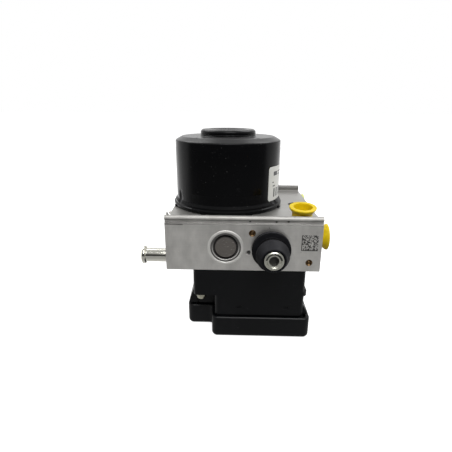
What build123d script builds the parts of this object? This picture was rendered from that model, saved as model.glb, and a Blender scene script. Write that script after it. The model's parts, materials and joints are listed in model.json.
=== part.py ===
from build123d import *
import math
import os

# Valve block: an extruded aluminium bar with a lip along its front and back top edges.
# The origin is where the motor axis meets the plane that the module stands on. +Z is up, -Y is the front.
block_width = 100.0
block_depth = 100.0
block_height = 32.5
block_base = 50.0
lip_height = 4.4
lip_width = 4.0
lip_round = 1.8
lip_bead = 2.2
cove_height = 2.2
cove_depth = 0.9
motor_from_left = 38.7
motor_from_front = 55.2

# Pump line: two opposed piston pumps on one axis across the motor axis
pump_above_base = 16.0
chamber_radius = 12.0
chamber_floor = 7.0
piston_radius = 4.0
piston_length = 16.2
piston_clearance = 0.05
cylinder_radius = 7.0
cylinder_length = 22.0
cylinder_end_wall = 2.0
closure_radius = 10.4
closure_chamfer = 1.2
closure_set_back = 0.5
closure_disc_radius = 7.0
closure_groove_width = 1.3
closure_groove_depth = 2.0

# Motor
can_radius = 38.3
can_wall = 1.6
can_height = 49.5
shoulder_run = 4.7
shoulder_drop = 3.6
shoulder_round = 2.5
draw_line_drop = 7.8
draw_line_step = 0.12
flange_reach = 2.3
flange_height = 5.0
flange_step = 0.9
tab_count = 8
tab_width = 3.0
tab_reach = 0.8
tab_height = 1.2
dent_count = 3
dent_depth = 1.0
dent_radius = 9.0
dent_above_face = 9.5
dimple_count = 4
dimple_turn = 50.0
dimple_inset = 6.6
dimple_radius = 1.6
dimple_depth = 0.6
boss_radius = 20.0
boss_round = 2.4
boss_height = 4.8
boss_recess_radius = 13.1
boss_recess_depth = 2.8
end_plate_height = 3.5
top_bearing_radius = 11.0
top_bearing_height = 7.0
lower_bearing_radius = 13.0
lower_bearing_height = 8.0
shaft_radius = 4.0
journal_radius = 5.0
shaft_clearance = 0.04
eccentric_radius = 5.5
eccentric_throw = 1.2
eccentric_height = 12.0
needle_radius = 1.0
needle_count = 12
ring_wall = 1.9
ring_height = 10.0
air_gap = 1.0
core_height = 24.0
slot_cover = 2.0
core_above_face = 15.2
slot_count = 12
slot_width = 5.0
slot_depth = 11.0
slot_mouth = 1.6
winding_gap = 0.15
end_turn_height = 4.5
commutator_radius = 10.0
commutator_height = 5.2
magnet_thickness = 6.6
magnet_seat = 0.1
magnet_arc = 130.0
brush_width = 5.0
brush_height = 4.0
brush_length = 10.0
brush_gap = 0.2
motor_screw_inset = 7.4
motor_screw_turn = 2.94
screw_boss_wall = 2.1
screw_boss_height = 4.0
brush_guide_wall = 1.0
brush_guide_extra = 2.0
brush_guide_roof = 0.6
motor_screw_radius = 2.4
motor_screw_head_radius = 4.3
motor_screw_head_height = 4.0
motor_screw_sink = 6.0
terminal_x = -15.1
terminal_y = -12.0
terminal_radius = 3.5
terminal_pin_radius = 0.8
terminal_pin_pitch = 3.2
terminal_pin_rise = 5.5
terminal_stalk_rise = 1.5
terminal_stalk_lift = 3.0

# Ports for the brake pipes, and the plastic caps in three of them
port_radius = 4.55
port_depth = 12.0
port_face_radius = 5.9
port_face_depth = 0.6
port_seat_depth = 2.0
port_seat_radius = 1.5
top_front_port_depth = 7.5
port_inset_top = 11.6
top_front_port_y = -41.9
port_inset_open = 9.8
top_open_port_y = -6.2
side_ports = [(-38.7, 18.6), (-16.7, 18.6), (8.8, 22.0), (34.4, 22.3)]
cap_rim_radius = 8.9
cap_neck_radius = 6.6
cap_rim_thickness = 1.3
cap_wall = 1.2
cap_cone_height = 2.6
cap_neck_foot = 0.6
cap_mouth_radius = 6.1
cap_floor_drop = 5.0
cap_stem_length = 6.0
cap_clearance = 0.05
lean_clearance = 0.5
top_cap_lift = 0.45
top_cap_stand = 7.85
top_cap_lean = 7.5
side_front_cap_stand = 6.9
side_rear_cap_stand = 3.6

# Suction nipple on the left face
nipple_y = -47.2
nipple_above_base = 7.0
nipple_radius = 4.6
nipple_bore = 3.2
nipple_reach = 17.6
nipple_bead_radius = 6.0
nipple_bead_length = 3.4
nipple_collar_radius = 6.2
nipple_collar_height = 1.6
nipple_pressed_length = 12.0

# Rubber mounting bushes and their shoulder bolts, one at the front and one at the back
bush_x = 29.0
bush_flange_radius = 12.4
bush_flange_end = 5.2
bush_start = 0.5
bush_groove_radius = 8.5
bush_nose_start = 10.6
bush_nose_radius = 10.3
bush_nose_land = 3.0
bush_end = 20.4
bush_tip_radius = 7.4
bush_pocket_radius = 6.4
bush_pocket_depth = 1.6
bolt_shoulder_radius = 4.5
bolt_head_radius = 5.9
bolt_head_height = 2.3
bolt_dish_radius = 4.4
bolt_dish_depth = 0.7
bolt_socket_radius = 3.1
bolt_socket_depth = 3.2
bolt_thread_radius = 3.4
bolt_thread_length = 8.5
bolt_clearance = 0.05

# Sealing plugs staked into the ends of the drilled passages
plug_radius = 2.25
plug_depth = 3.2
plug_ball_radius = 1.25
passage_radius = 1.2
passage_depth = 7.0
front_passages = [(16.9, 26.0), (53.9, 6.4)]
back_passages = [(-16.0, 28.2), (50.0, 8.0)]
left_passages = [(-28.0, 26.0)]
right_passages = [(-27.7, 7.0)]
nick_x = 14.8
nick_above_base = 13.0
nick_radius = 2.0
nick_depth = 0.45

# Low-pressure accumulators in the left face
accumulator_y = [11.2, 30.4]
accumulator_radius = 8.5
accumulator_depth = 18.6
accumulator_piston_length = 6.0
accumulator_piston_cup = 4.4
accumulator_cup_radius = 7.0
accumulator_cap_radius = 9.3
accumulator_cap_height = 3.0
accumulator_vent_radius = 0.8
accumulator_clearance = 0.05
accumulator_spring_radius = 5.6
accumulator_spring_wire = 1.2
accumulator_spring_turns = 4.0

# Solenoid valves: two rows of four under the block, with their coils in the control unit
valve_x = [18.4, 34.8]
valve_y = [-26.25, -7.75, 10.75, 29.25]
valve_body_radius = 5.0
valve_body_depth = 18.0
valve_nose_radius = 3.0
valve_nose_length = 2.0
dome_radius = 4.05
dome_above_coil_foot = 5.4
dome_end_wall = 1.0
dome_wall = 0.75
guide_radius = 1.5
guide_clearance = 0.1
plunger_clearance = 0.05
plunger_rise = 1.0
plunger_floor_gap = 1.0
plunger_stroke = 0.3
seat_above_base = 13.0
seat_gap = 0.1
outlet_radius = 0.75
coil_radius = 7.9
coil_clearance = 0.15
coil_above_board = 3.0
coil_flange = 1.6
coil_waist = 0.9
coil_pin_radius = 0.4
coil_pin_pitch = 10.0

# Control unit under the block
housing_left = -21.5
housing_right = 53.1
housing_setback = 0.5
housing_gap = 0.4
housing_roof = 2.0
housing_foot = 16.6
housing_wall = 2.2
housing_round = 3.0
overhang_floor = 31.2
front_notch_x = -7.2
front_notch_y = -39.2
back_notch_x = -9.0
back_notch_y = 31.0
side_notch_x = 45.6
side_notch_low = -4.5
side_notch_high = 7.5
flare_reach = 5.3
flare_top = 35.0
flare_shoulder = 19.0
right_flare_reach = 2.4
right_flare_top = 25.0
rib_reach = 1.9
rib_height = 2.8
rib_front_wrap = 5.2
spigot_inset = 1.4
spigot_wall = 1.4
cover_top = 15.6
cover_shelf = 13.0
cover_lap = 2.0
cover_wall = 2.2
cover_lower_wall = 3.8
cover_floor = 2.4
cover_left = -27.2
cover_right = 57.7
cover_round = 4.0
cover_edge = 3.0
clip_x = [9.4, 41.4]
clip_above_foot = 6.4
clip_width = 3.2
clip_height = 1.6
clip_depth = 0.5
seal_inset = 0.5
seal_width = 0.8
seal_depth = 1.0
board_top = 21.6
board_thickness = 1.6
board_clearance = 0.6
board_chips = [(-3.0, -20.0, 14.0, 14.0, 1.6), (-4.0, 4.0, 10.0, 7.0, 2.0), (0.0, 22.0, 9.0, 9.0, 1.8),
               (30.0, -44.0, 12.0, 5.0, 2.2)]
capacitor_places = [(14.0, -44.0), (-12.0, 12.0)]
capacitor_radius = 3.5
capacitor_height = 8.0
post_radius = 2.2
post_places = [(-14.0, -28.0), (-14.0, 24.0), (4.0, -47.0), (47.4, 39.6), (47.4, -47.0)]
unit_screw_places = [(-16.5, -49.2), (-16.5, 38.4), (49.4, 1.5)]
unit_screw_radius = 2.0
unit_screw_clearance = 0.2
unit_screw_head_radius = 3.6
unit_screw_head_height = 4.6
unit_screw_depth = 9.0
unit_screw_socket = 1.9
column_radius = 4.6

# Harness socket at the back of the control unit
socket_x = 21.0
socket_z = 31.2
socket_width = 58.0
socket_height = 26.0
socket_wall = 2.0
socket_round = 4.0
socket_floor = 2.4
socket_length = 22.0
socket_key_width = 4.0
socket_key_height = 1.6
socket_key_start = 6.0
socket_key_end = 3.0
pin_columns = 12
pin_pitch = 4.0
pin_rows = [-4.0, 4.0]
pin_legs = [4.0, 5.8]
pin_size = 0.8
pin_reach = 9.0

# Small clearance between pieces that are pressed or screwed together
seat_clearance = 0.02

# Levels and planes worked out from the sizes above
block_left = -motor_from_left
block_right = block_left + block_width
block_front = -motor_from_front
block_back = block_front + block_depth
motor_face = block_base + block_height
lip_top = motor_face + lip_height
pump_z = block_base + pump_above_base
chamber_z = block_base + chamber_floor
ring_inner = eccentric_radius + 2 * needle_radius + 0.1
ring_outer = ring_inner + ring_wall
piston_rest = ring_outer + eccentric_throw + 0.1
piston_stroke = 2 * eccentric_throw
cylinder_start = chamber_radius + 1.0
cylinder_end = cylinder_start + cylinder_length
can_top = motor_face + can_height
can_bore = can_radius - can_wall
flange_radius = can_radius + flange_reach
dimple_from_axis = can_radius - dimple_inset
core_radius = can_bore - magnet_seat - magnet_thickness - air_gap
screw_circle = can_bore - motor_screw_inset
screw_x = screw_circle * math.cos(math.radians(motor_screw_turn))
screw_y = screw_circle * math.sin(math.radians(motor_screw_turn))
boss_top = can_top + boss_height
recess_floor = boss_top - boss_recess_depth
housing_front = block_front + housing_setback
housing_back = block_back - housing_setback
housing_top = block_base - housing_gap
housing_ceiling = housing_top - housing_roof
coil_foot = board_top + coil_above_board
dome_low = coil_foot + dome_above_coil_foot
plunger_low = dome_low + dome_end_wall + plunger_floor_gap
plunger_high = block_base + plunger_rise


def rod(radius, start, end, x=0.0, y=0.0):
    """Upright round bar between two heights."""
    return Pos(x, y, (start + end) / 2) * Cylinder(radius, end - start)


def brick(x0, x1, y0, y1, z0, z1):
    """Square bar between two corners."""
    return Pos((x0 + x1) / 2, (y0 + y1) / 2, (z0 + z1) / 2) * Box(x1 - x0, y1 - y0, z1 - z0)


def outline(corners):
    """Face inside a closed run of (x, y, corner radius)."""
    path = FilletPolyline(*[(x, y) for x, y, _ in corners], radius=[r for _, _, r in corners], close=True)
    return make_face(path)


def turned(corners, arc=360.0):
    """Solid of revolution about Z from (radius, height, corner radius)."""
    return revolve(Plane.XZ * outline(corners), Axis.Z, arc)


def upright(face, start, end):
    """A flat outline raised between two heights."""
    return extrude(Pos(0, 0, start) * face, end - start)


def facing(direction, x, y, z):
    """Place on a face of the block, with local +Z pointing out of it."""
    across = (0, 1, 0) if direction[0] else (1, 0, 0)
    return Plane((x, y, z), x_dir=across, z_dir=direction)


def pump_side(sign):
    """Local frame of one pump: +Z points away from the motor axis along the pump line."""
    return facing((0, sign, 0), 0, 0, pump_z)


def left_face(y, height):
    return facing((-1, 0, 0), block_left, y, block_base + height)


def right_face(y, height):
    return facing((1, 0, 0), block_right, y, block_base + height)


def front_face(x, height):
    return facing((0, -1, 0), x, block_front, block_base + height)


def back_face(x, height):
    return facing((0, 1, 0), x, block_back, block_base + height)


def spring(radius, wire, start, end, turns):
    """Round-wire compression spring along Z."""
    low, high = start + wire / 2, end - wire / 2
    path = Helix(pitch=(high - low) / turns, height=high - low, radius=radius, center=(0, 0, low))
    section = Plane(origin=path @ 0, z_dir=path % 0) * RegularPolygon(wire / 2, 8)
    return sweep(section, path=path, is_frenet=True)


def save(name, shape, color):
    """Write one node as parts/NAME.step."""
    shape.label = name
    shape.color = Color(color)
    export_step(shape, f"parts/{name}.step")


top_ports = {
    "front": (block_right - port_inset_top, top_front_port_y, top_front_port_depth),
    "open": (block_right - port_inset_open, top_open_port_y, port_depth),
}
passages = [front_face(*p) for p in front_passages] + [back_face(*p) for p in back_passages]
passages += [left_face(*p) for p in left_passages] + [right_face(*p) for p in right_passages]
valves = [(x, y) for x in valve_x for y in valve_y]
motor_screws_at = [(screw_x, screw_y), (-screw_x, -screw_y)]


def block_bar():
    """The extruded bar: its section in YZ, as long as the block is wide."""
    bead, cove_top = lip_top - lip_bead, lip_top - lip_bead - 0.7
    cove_low = cove_top - cove_height + 0.7
    front, back = block_front, block_back
    section = [
        (front, block_base, 0.6), (back, block_base, 0.6),
        (back, cove_low - 0.7, 0.5), (back - cove_depth, cove_low, 0.5),
        (back - cove_depth, cove_top, 0.4), (back, bead, 0.2),
        (back, lip_top, lip_round), (back - lip_width, lip_top, lip_round),
        (back - lip_width, motor_face, 1.0), (front + lip_width, motor_face, 1.0),
        (front + lip_width, lip_top, lip_round), (front, lip_top, lip_round),
        (front, bead, 0.2), (front + cove_depth, cove_top, 0.4),
        (front + cove_depth, cove_low, 0.5), (front, cove_low - 0.7, 0.5),
    ]
    return extrude(Plane.YZ.offset(block_left) * outline(section), block_width)


def port_cut(depth):
    """Threaded port with its spot face and the cone at its end."""
    return turned([
        (0, 1, 0), (port_face_radius, 1, 0), (port_face_radius, -port_face_depth, 0),
        (port_radius + 0.5, -port_face_depth, 0), (port_radius, -port_face_depth - 0.5, 0),
        (port_radius, -depth, 0), (port_seat_radius, -depth - port_seat_depth, 0),
        (0, -depth - port_seat_depth, 0),
    ])


def pump_cut(reach):
    """Stepped pump bore from the eccentric chamber out through the block's face."""
    wide = closure_radius + closure_chamfer
    return turned([
        (0, 0, 0), (cylinder_radius + seat_clearance, 0, 0), (cylinder_radius + seat_clearance, cylinder_end, 0),
        (closure_radius, cylinder_end, 0), (closure_radius, reach - closure_chamfer * 0.7, 0),
        (wide, reach, 0), (wide, reach + 1, 0), (0, reach + 1, 0),
    ])


def passage_cut():
    """Drilled passage with the wider seat of its sealing plug."""
    return rod(plug_radius, -plug_depth, 1) + rod(passage_radius, -passage_depth, 0)


def accumulator_cut():
    deep = rod(accumulator_radius, -accumulator_depth, 1)
    return deep + rod(accumulator_cap_radius, -accumulator_cap_height, 1)


def nipple_cut():
    seat = rod(nipple_collar_radius + seat_clearance, -nipple_collar_height, 1)
    return seat + rod(nipple_radius, -nipple_pressed_length, 1)


def bolt_cut():
    entry = turned([(0, -1.2, 0), (bolt_thread_radius, -1.2, 0), (bolt_thread_radius + 1.2, 0, 0),
                    (bolt_thread_radius + 1.2, 1, 0), (0, 1, 0)])
    return rod(bolt_thread_radius, -bolt_thread_length - 1.2, 0) + entry


def valve_block():
    block = block_bar()
    block -= rod(chamber_radius, chamber_z, motor_face + 1)
    block -= rod(lower_bearing_radius, motor_face - lower_bearing_height, motor_face + 1)
    block -= pump_side(-1) * pump_cut(motor_from_front)
    block -= pump_side(1) * pump_cut(block_back)
    for x, y in valves:
        nose = block_base + valve_body_depth
        block -= rod(valve_body_radius, block_base - 1, nose, x, y)
        block -= rod(valve_nose_radius, nose, nose + valve_nose_length, x, y)
    for x, y, depth in top_ports.values():
        block -= Pos(x, y, motor_face) * port_cut(depth)
    for y, height in side_ports:
        block -= right_face(y, height) * port_cut(port_depth)
    for y in accumulator_y:
        block -= left_face(y, pump_above_base) * accumulator_cut()
    block -= left_face(nipple_y, nipple_above_base) * nipple_cut()
    for face in (front_face, back_face):
        block -= face(bush_x, pump_above_base) * bolt_cut()
    for place in passages:
        block -= place * passage_cut()
    for x, y in motor_screws_at:
        block -= rod(motor_screw_radius + 0.3, block_base - 1, motor_face + 1, x, y)
        block -= rod(motor_screw_head_radius + 0.5, block_base - 1, block_base + motor_screw_sink, x, y)
    for x, y in unit_screw_places:
        block -= rod(unit_screw_radius, block_base - 1, block_base + unit_screw_depth + 1, x, y)
    block -= rod(terminal_radius + 0.05, block_base - 1, motor_face + 1, terminal_x, terminal_y)
    for shift in (-0.7, 0.8):
        centre = front_face(nick_x + shift, nick_above_base + shift / 3)
        block -= centre * Pos(0, 0, nick_radius - nick_depth) * Sphere(nick_radius)
    return block


def sealing_plug():
    """Staked ring round a pressed ball, flush with the face."""
    return turned([
        (0, -plug_depth, 0), (plug_radius, -plug_depth, 0), (plug_radius, -0.15, 0.0),
        (plug_radius - 0.35, 0, 0), (plug_ball_radius + 0.25, -0.35, 0), (plug_ball_radius, -0.7, 0),
        (plug_ball_radius * 0.7, -0.3, 0), (0, -0.12, 0),
    ])


def port_cap(stand, clearance=cap_clearance):
    """Hollow plastic transport cap: stem in the port, neck, and a dished rim."""
    rim_low = stand - cap_rim_thickness
    neck_top = max(rim_low - cap_cone_height, cap_neck_foot + 0.1)
    stem = port_radius - clearance
    floor = max(stand - cap_floor_drop, cap_neck_foot + cap_wall)
    return turned([
        (0, floor - cap_wall, 0), (stem - cap_wall, floor - cap_wall, 0), (stem - cap_wall, -cap_stem_length, 0),
        (stem, -cap_stem_length, 0), (stem, clearance * 2 - port_face_depth, 0), (port_face_radius - 0.7, clearance * 2, 0),
        (cap_neck_radius, cap_neck_foot, 0), (cap_neck_radius, neck_top, 0),
        (cap_rim_radius - 0.3, rim_low, 0.3), (cap_rim_radius, stand - 0.3, 0.2), (cap_rim_radius - 0.4, stand, 0.2),
        (cap_mouth_radius, stand, 0.4), (cap_neck_radius - cap_wall, floor, 0.5), (0, floor, 0),
    ])


def suction_nipple():
    """Pressed-in steel hose nipple with a collar and a rounded end bead."""
    bead = nipple_reach - nipple_bead_length
    return turned([
        (nipple_bore, 1 - nipple_pressed_length, 0), (nipple_radius, 1 - nipple_pressed_length, 0),
        (nipple_radius, -nipple_collar_height, 0), (nipple_collar_radius, -nipple_collar_height, 0),
        (nipple_collar_radius, -0.2, 0.2), (nipple_radius, 0.2, 0.2), (nipple_radius, bead, 0.4),
        (nipple_bead_radius, bead + 0.6, 0.9), (nipple_bead_radius, nipple_reach - 1.1, 0.9),
        (nipple_radius - 0.3, nipple_reach, 0.2), (nipple_bore + 0.3, nipple_reach, 0),
        (nipple_bore, nipple_reach - 0.5, 0),
    ])


def motor_can():
    """Deep-drawn steel can with a stepped foot flange, a sloped shoulder and a bearing boss."""
    inner = can_radius - can_wall
    plate_top = motor_face + end_plate_height
    step_base = motor_face + flange_height
    edge = can_radius - shoulder_run
    drop = can_top - shoulder_drop
    line = can_top - draw_line_drop
    pocket = top_bearing_radius
    pocket_wall = pocket + can_wall
    under_floor = recess_floor - can_wall
    can = turned([
        (inner + 0.8, motor_face, 0), (flange_radius, motor_face, 1.1), (flange_radius, motor_face + 2.4, 0.5),
        (flange_radius - flange_step, motor_face + 3.0, 0.2), (flange_radius - flange_step, step_base - 0.8, 0.4),
        (can_radius, step_base + 0.9, 0.6), (can_radius, line, 0), (can_radius - draw_line_step, line + 0.4, 0),
        (can_radius - draw_line_step, drop, shoulder_round), (edge, can_top, 0.25), (boss_radius, can_top, 0.7),
        (boss_radius, can_top + 1.2, 0.2), (boss_radius - 0.5, can_top + 1.5, 0.2), (boss_radius, can_top + 1.8, 0.2),
        (boss_radius, boss_top, boss_round), (boss_recess_radius, boss_top, 1.2),
        (boss_recess_radius, recess_floor, 0.5), (0, recess_floor, 0), (0, under_floor, 0), (pocket, under_floor, 0),
        (pocket, under_floor - top_bearing_height, 0), (pocket_wall, under_floor - top_bearing_height, 0),
        (pocket_wall, under_floor, 0), (boss_recess_radius + can_wall, under_floor, 0),
        (boss_recess_radius + can_wall, boss_top - can_wall, 0.4), (boss_radius - can_wall, boss_top - can_wall, 0.8),
        (boss_radius - can_wall, can_top - can_wall, 0), (edge - can_wall * 0.35, can_top - can_wall, 0),
        (inner, drop - can_wall * 0.55, 1.0), (inner, plate_top, 0), (inner + 0.8, plate_top, 0),
    ])
    for k in range(tab_count):
        turn = 360 / tab_count * (k + 0.5)
        reach = flange_radius + tab_reach
        tab = brick(flange_radius - 1, reach, -tab_width / 2, tab_width / 2, motor_face, motor_face + tab_height)
        can += Rot(0, 0, turn) * tab
    for k in range(dent_count):
        out = can_radius + dent_radius - dent_depth
        turn = 90 + 360 / dent_count * k
        can -= Rot(0, 0, turn) * Pos(out, 0, motor_face + dent_above_face) * Sphere(dent_radius)
    for k in range(dimple_count):
        turn = (dimple_turn, 180 - dimple_turn)[k % 2] + 180 * (k // 2)
        can -= Rot(0, 0, turn) * Pos(dimple_from_axis, 0, can_top + dimple_radius - dimple_depth) * Sphere(dimple_radius)
    return can


def motor_end_plate():
    """Plate that closes the can, with the screw bosses and the guides of the two brushes."""
    top = motor_face + end_plate_height
    plate = rod(can_bore + 0.7, motor_face, top)
    for x, y in motor_screws_at:
        plate += rod(motor_screw_radius + screw_boss_wall, top, top + screw_boss_height, x, y)
    low = brush_level() - brush_height / 2
    start = commutator_radius + 2.5
    for sign in (-1, 1):
        y0, y1 = sorted((sign * start, sign * (start + brush_length + brush_guide_extra)))
        half = brush_width / 2 + brush_guide_wall
        guide = brick(-half, half, y0, y1, top, low + brush_height + brush_guide_roof)
        plate += guide - brick(-brush_width / 2 - 0.1, brush_width / 2 + 0.1, y0 - 1, y1 + 1,
                               low, low + brush_height + 0.1)
    for x, y in motor_screws_at:
        plate -= rod(motor_screw_radius + seat_clearance, motor_face - 1, top + screw_boss_height + 1, x, y)
    plate -= rod(journal_radius + 3, motor_face - 1, top + 1)
    return plate - rod(terminal_radius + 0.1, motor_face - 1, top + 1, terminal_x, terminal_y)


def brush_level():
    return motor_face + end_plate_height + 1.0 + commutator_height / 2


def brush(sign):
    start = commutator_radius + brush_gap
    y0, y1 = sorted((sign * start, sign * (start + brush_length)))
    level = brush_level()
    return brick(-brush_width / 2, brush_width / 2, y0, y1, level - brush_height / 2, level + brush_height / 2)


def bearing(outer, bore, base, height):
    """Ball bearing with shields, shown whole: shallow grooves mark its two rings."""
    step, third = 0.5, (outer - bore) / 3
    return turned([
        (bore, base, 0), (bore + third, base, 0), (bore + third, base + step, 0), (outer - third, base + step, 0),
        (outer - third, base, 0), (outer, base, 0), (outer, base + height, 0), (outer - third, base + height, 0),
        (outer - third, base + height - step, 0), (bore + third, base + height - step, 0),
        (bore + third, base + height, 0), (bore, base + height, 0),
    ])


def motor_shaft():
    """Shaft with the lower journal and the eccentric that drives both pumps."""
    top = recess_floor - can_wall - 0.6
    low = motor_face - lower_bearing_height - 0.8
    shaft = rod(shaft_radius - shaft_clearance, motor_face + 2, top)
    shaft += rod(journal_radius - shaft_clearance, low, motor_face + 3)
    shaft += rod(eccentric_radius, pump_z - eccentric_height / 2, low, eccentric_throw)
    return shaft + rod(shaft_radius - 1, chamber_z + 1, pump_z)


def eccentric_needles():
    place = eccentric_radius + needle_radius + 0.05
    needles = []
    for k in range(needle_count):
        turn = 2 * math.pi * k / needle_count
        x, y = eccentric_throw + place * math.cos(turn), place * math.sin(turn)
        needles.append(rod(needle_radius, pump_z - ring_height / 2 + 0.5, pump_z + ring_height / 2 - 0.5, x, y))
    return Compound(children=needles)


def eccentric_ring():
    low, high = pump_z - ring_height / 2, pump_z + ring_height / 2
    return Pos(eccentric_throw, 0, 0) * (rod(ring_outer, low, high) - rod(ring_inner, low - 1, high + 1))


def slot_shape(width, start, reach):
    """Slot of the armature core, seen from above on the +X side: a narrow mouth and a wide body."""
    return Pos((start + reach) / 2, 0) * Rectangle(reach - start, width)


def armature_core():
    low = motor_face + core_above_face
    core = rod(core_radius, low, low + core_height) - rod(shaft_radius - shaft_clearance, low - 1, low + core_height + 1)
    body_end = core_radius - slot_cover
    for k in range(slot_count):
        turn = Rot(0, 0, 360 / slot_count * (k + 0.5))
        body = slot_shape(slot_width, body_end - slot_depth, body_end) + slot_shape(slot_mouth, body_end - 1, core_radius + 1)
        core -= turn * upright(body, low - 1, low + core_height + 1)
    return core


def armature_windings():
    """Copper in the slots, joined by the end turns above and below the core."""
    low, high = motor_face + core_above_face, motor_face + core_above_face + core_height
    body_end = core_radius - slot_cover - winding_gap
    start = core_radius - slot_cover - slot_depth + winding_gap
    inner, outer = start - 2, body_end
    copper = Part()
    for base in (low - end_turn_height - winding_gap, high + winding_gap):
        copper += turned([(inner, base, 1.2), (outer, base, 1.2), (outer, base + end_turn_height, 1.2),
                          (inner, base + end_turn_height, 1.2)])
    for k in range(slot_count):
        bar = slot_shape(slot_width - 2 * winding_gap, start, body_end)
        reach = winding_gap + end_turn_height / 2
        copper += Rot(0, 0, 360 / slot_count * (k + 0.5)) * upright(bar, low - reach, high + reach)
    return copper


def commutator():
    base = brush_level() - commutator_height / 2
    ring = rod(commutator_radius, base, base + commutator_height)
    ring -= rod(shaft_radius - shaft_clearance, base - 1, base + commutator_height + 1)
    for k in range(slot_count):
        cut = brick(commutator_radius - 0.8, commutator_radius + 1, -0.25, 0.25, base - 1, base + commutator_height + 1)
        ring -= Rot(0, 0, 360 / slot_count * k) * cut
    return ring


def magnet(turn):
    low = motor_face + core_above_face - 1.0
    outer = can_bore - magnet_seat
    inner = outer - magnet_thickness
    high = low + core_height + 2.0
    arc = turned([(inner, low, 0), (outer, low, 0), (outer, high, 0), (inner, high, 0)], magnet_arc)
    return Rot(0, 0, turn - magnet_arc / 2) * arc


def motor_screw(x, y):
    shoulder = block_base + motor_screw_sink
    screw = rod(motor_screw_radius, shoulder, motor_face + end_plate_height + screw_boss_height - 0.5, x, y)
    head = rod(motor_screw_head_radius, shoulder - motor_screw_head_height, shoulder, x, y)
    socket = Pos(x, y, shoulder - motor_screw_head_height) * extrude(RegularPolygon(2.2, 6), 2.4)
    return screw + head - socket


def motor_terminals():
    """Stalk that carries the two motor leads through the block to the circuit board."""
    low, high = board_top + terminal_stalk_lift, motor_face + terminal_stalk_rise
    stalk = rod(terminal_radius, low, high, terminal_x, terminal_y)
    for side in (-1, 1):
        x = terminal_x + side * terminal_pin_pitch / 2
        stalk += rod(terminal_pin_radius, board_top, motor_face + terminal_pin_rise, x, terminal_y)
    return stalk


def pump_closure(reach):
    """Staked steel closure: outer ring, groove and centre disc. Local Z runs out along the pump line."""
    face = reach - closure_set_back
    body = closure_radius - seat_clearance
    groove = closure_disc_radius + closure_groove_width
    return turned([
        (0, cylinder_end + 0.05, 0), (cylinder_radius, cylinder_end + 0.05, 0), (body, cylinder_end + 1.2, 0),
        (body, face - 0.5, 0), (body - 0.5, face, 0), (groove + 0.3, face, 0), (groove, face - 0.3, 0),
        (groove, face - closure_groove_depth, 0), (closure_disc_radius, face - closure_groove_depth, 0),
        (closure_disc_radius, face - 0.1, 0.3), (0, face - 0.1, 0),
    ])


def pump_cylinder():
    bore = piston_radius + piston_clearance
    end = cylinder_end - cylinder_end_wall
    return turned([
        (bore + 0.6, cylinder_start, 0), (cylinder_radius, cylinder_start, 0), (cylinder_radius, cylinder_end, 0),
        (1.2, cylinder_end, 0), (1.2, end, 0), (bore, end, 0), (bore, cylinder_start + 0.6, 0),
    ])


def pump_piston():
    end = piston_rest + piston_length
    return turned([
        (0, piston_rest, 0), (piston_radius - 0.4, piston_rest, 0), (piston_radius, piston_rest + 0.4, 0),
        (piston_radius, end - 2.6, 0), (piston_radius - 0.5, end - 2.6, 0), (piston_radius - 0.5, end - 1.2, 0),
        (piston_radius, end - 1.2, 0), (piston_radius, end, 0), (1.0, end, 0), (1.0, end - 4, 0), (0, end - 4, 0),
    ])


def pump_spring():
    start = piston_rest + piston_length
    return spring(piston_radius - 1.3, 0.7, start, cylinder_end - cylinder_end_wall, 3)


def accumulator_piston():
    """Cup piston at the inner end of its bore. Local Z runs out of the left face."""
    low = 0.3 - accumulator_depth
    high = low + accumulator_piston_length
    radius = accumulator_radius - accumulator_clearance
    floor = high - accumulator_piston_cup
    return turned([
        (0, low, 0), (radius - 0.6, low, 0), (radius, low + 0.6, 0), (radius, high, 0),
        (accumulator_cup_radius, high, 0), (accumulator_cup_radius, floor, 0), (0, floor, 0),
    ])


def accumulator_spring():
    start = 0.3 - accumulator_depth + accumulator_piston_length - accumulator_piston_cup
    turns = accumulator_spring_turns
    return spring(accumulator_spring_radius, accumulator_spring_wire, start, -accumulator_cap_height, turns)


def accumulator_cap():
    """Dished steel cap staked in the face, with its vent."""
    radius = accumulator_cap_radius - seat_clearance
    dish = radius - 2.4
    return turned([
        (accumulator_vent_radius, -accumulator_cap_height, 0), (radius, -accumulator_cap_height, 0),
        (radius, -0.7, 0), (radius - 0.4, -0.3, 0), (dish + 0.4, -0.3, 0), (dish, -0.9, 0.2),
        (accumulator_vent_radius, -0.9, 0),
    ])


def mounting_bush():
    """Rubber spool: wide flange at the block, groove for the bracket and a tapered nose."""
    bore = bolt_shoulder_radius + bolt_clearance
    pocket = bush_end - bush_pocket_depth
    return turned([
        (bore, bush_start, 0), (bush_flange_radius - 1.4, bush_start, 0), (bush_flange_radius, bush_start + 1.4, 0.5),
        (bush_flange_radius, bush_flange_end - 0.4, 0.4), (bush_flange_radius - 3.2, bush_flange_end, 0.3),
        (bush_groove_radius, bush_flange_end + 0.8, 0.3), (bush_groove_radius, bush_nose_start - 0.3, 0.3),
        (bush_nose_radius, bush_nose_start + 0.6, 0.6), (bush_nose_radius, bush_nose_start + bush_nose_land, 1.6),
        (bush_tip_radius, bush_end, 0.8), (bush_pocket_radius, bush_end, 0.1), (bush_pocket_radius, pocket, 0),
        (bore, pocket, 0),
    ])


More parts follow.
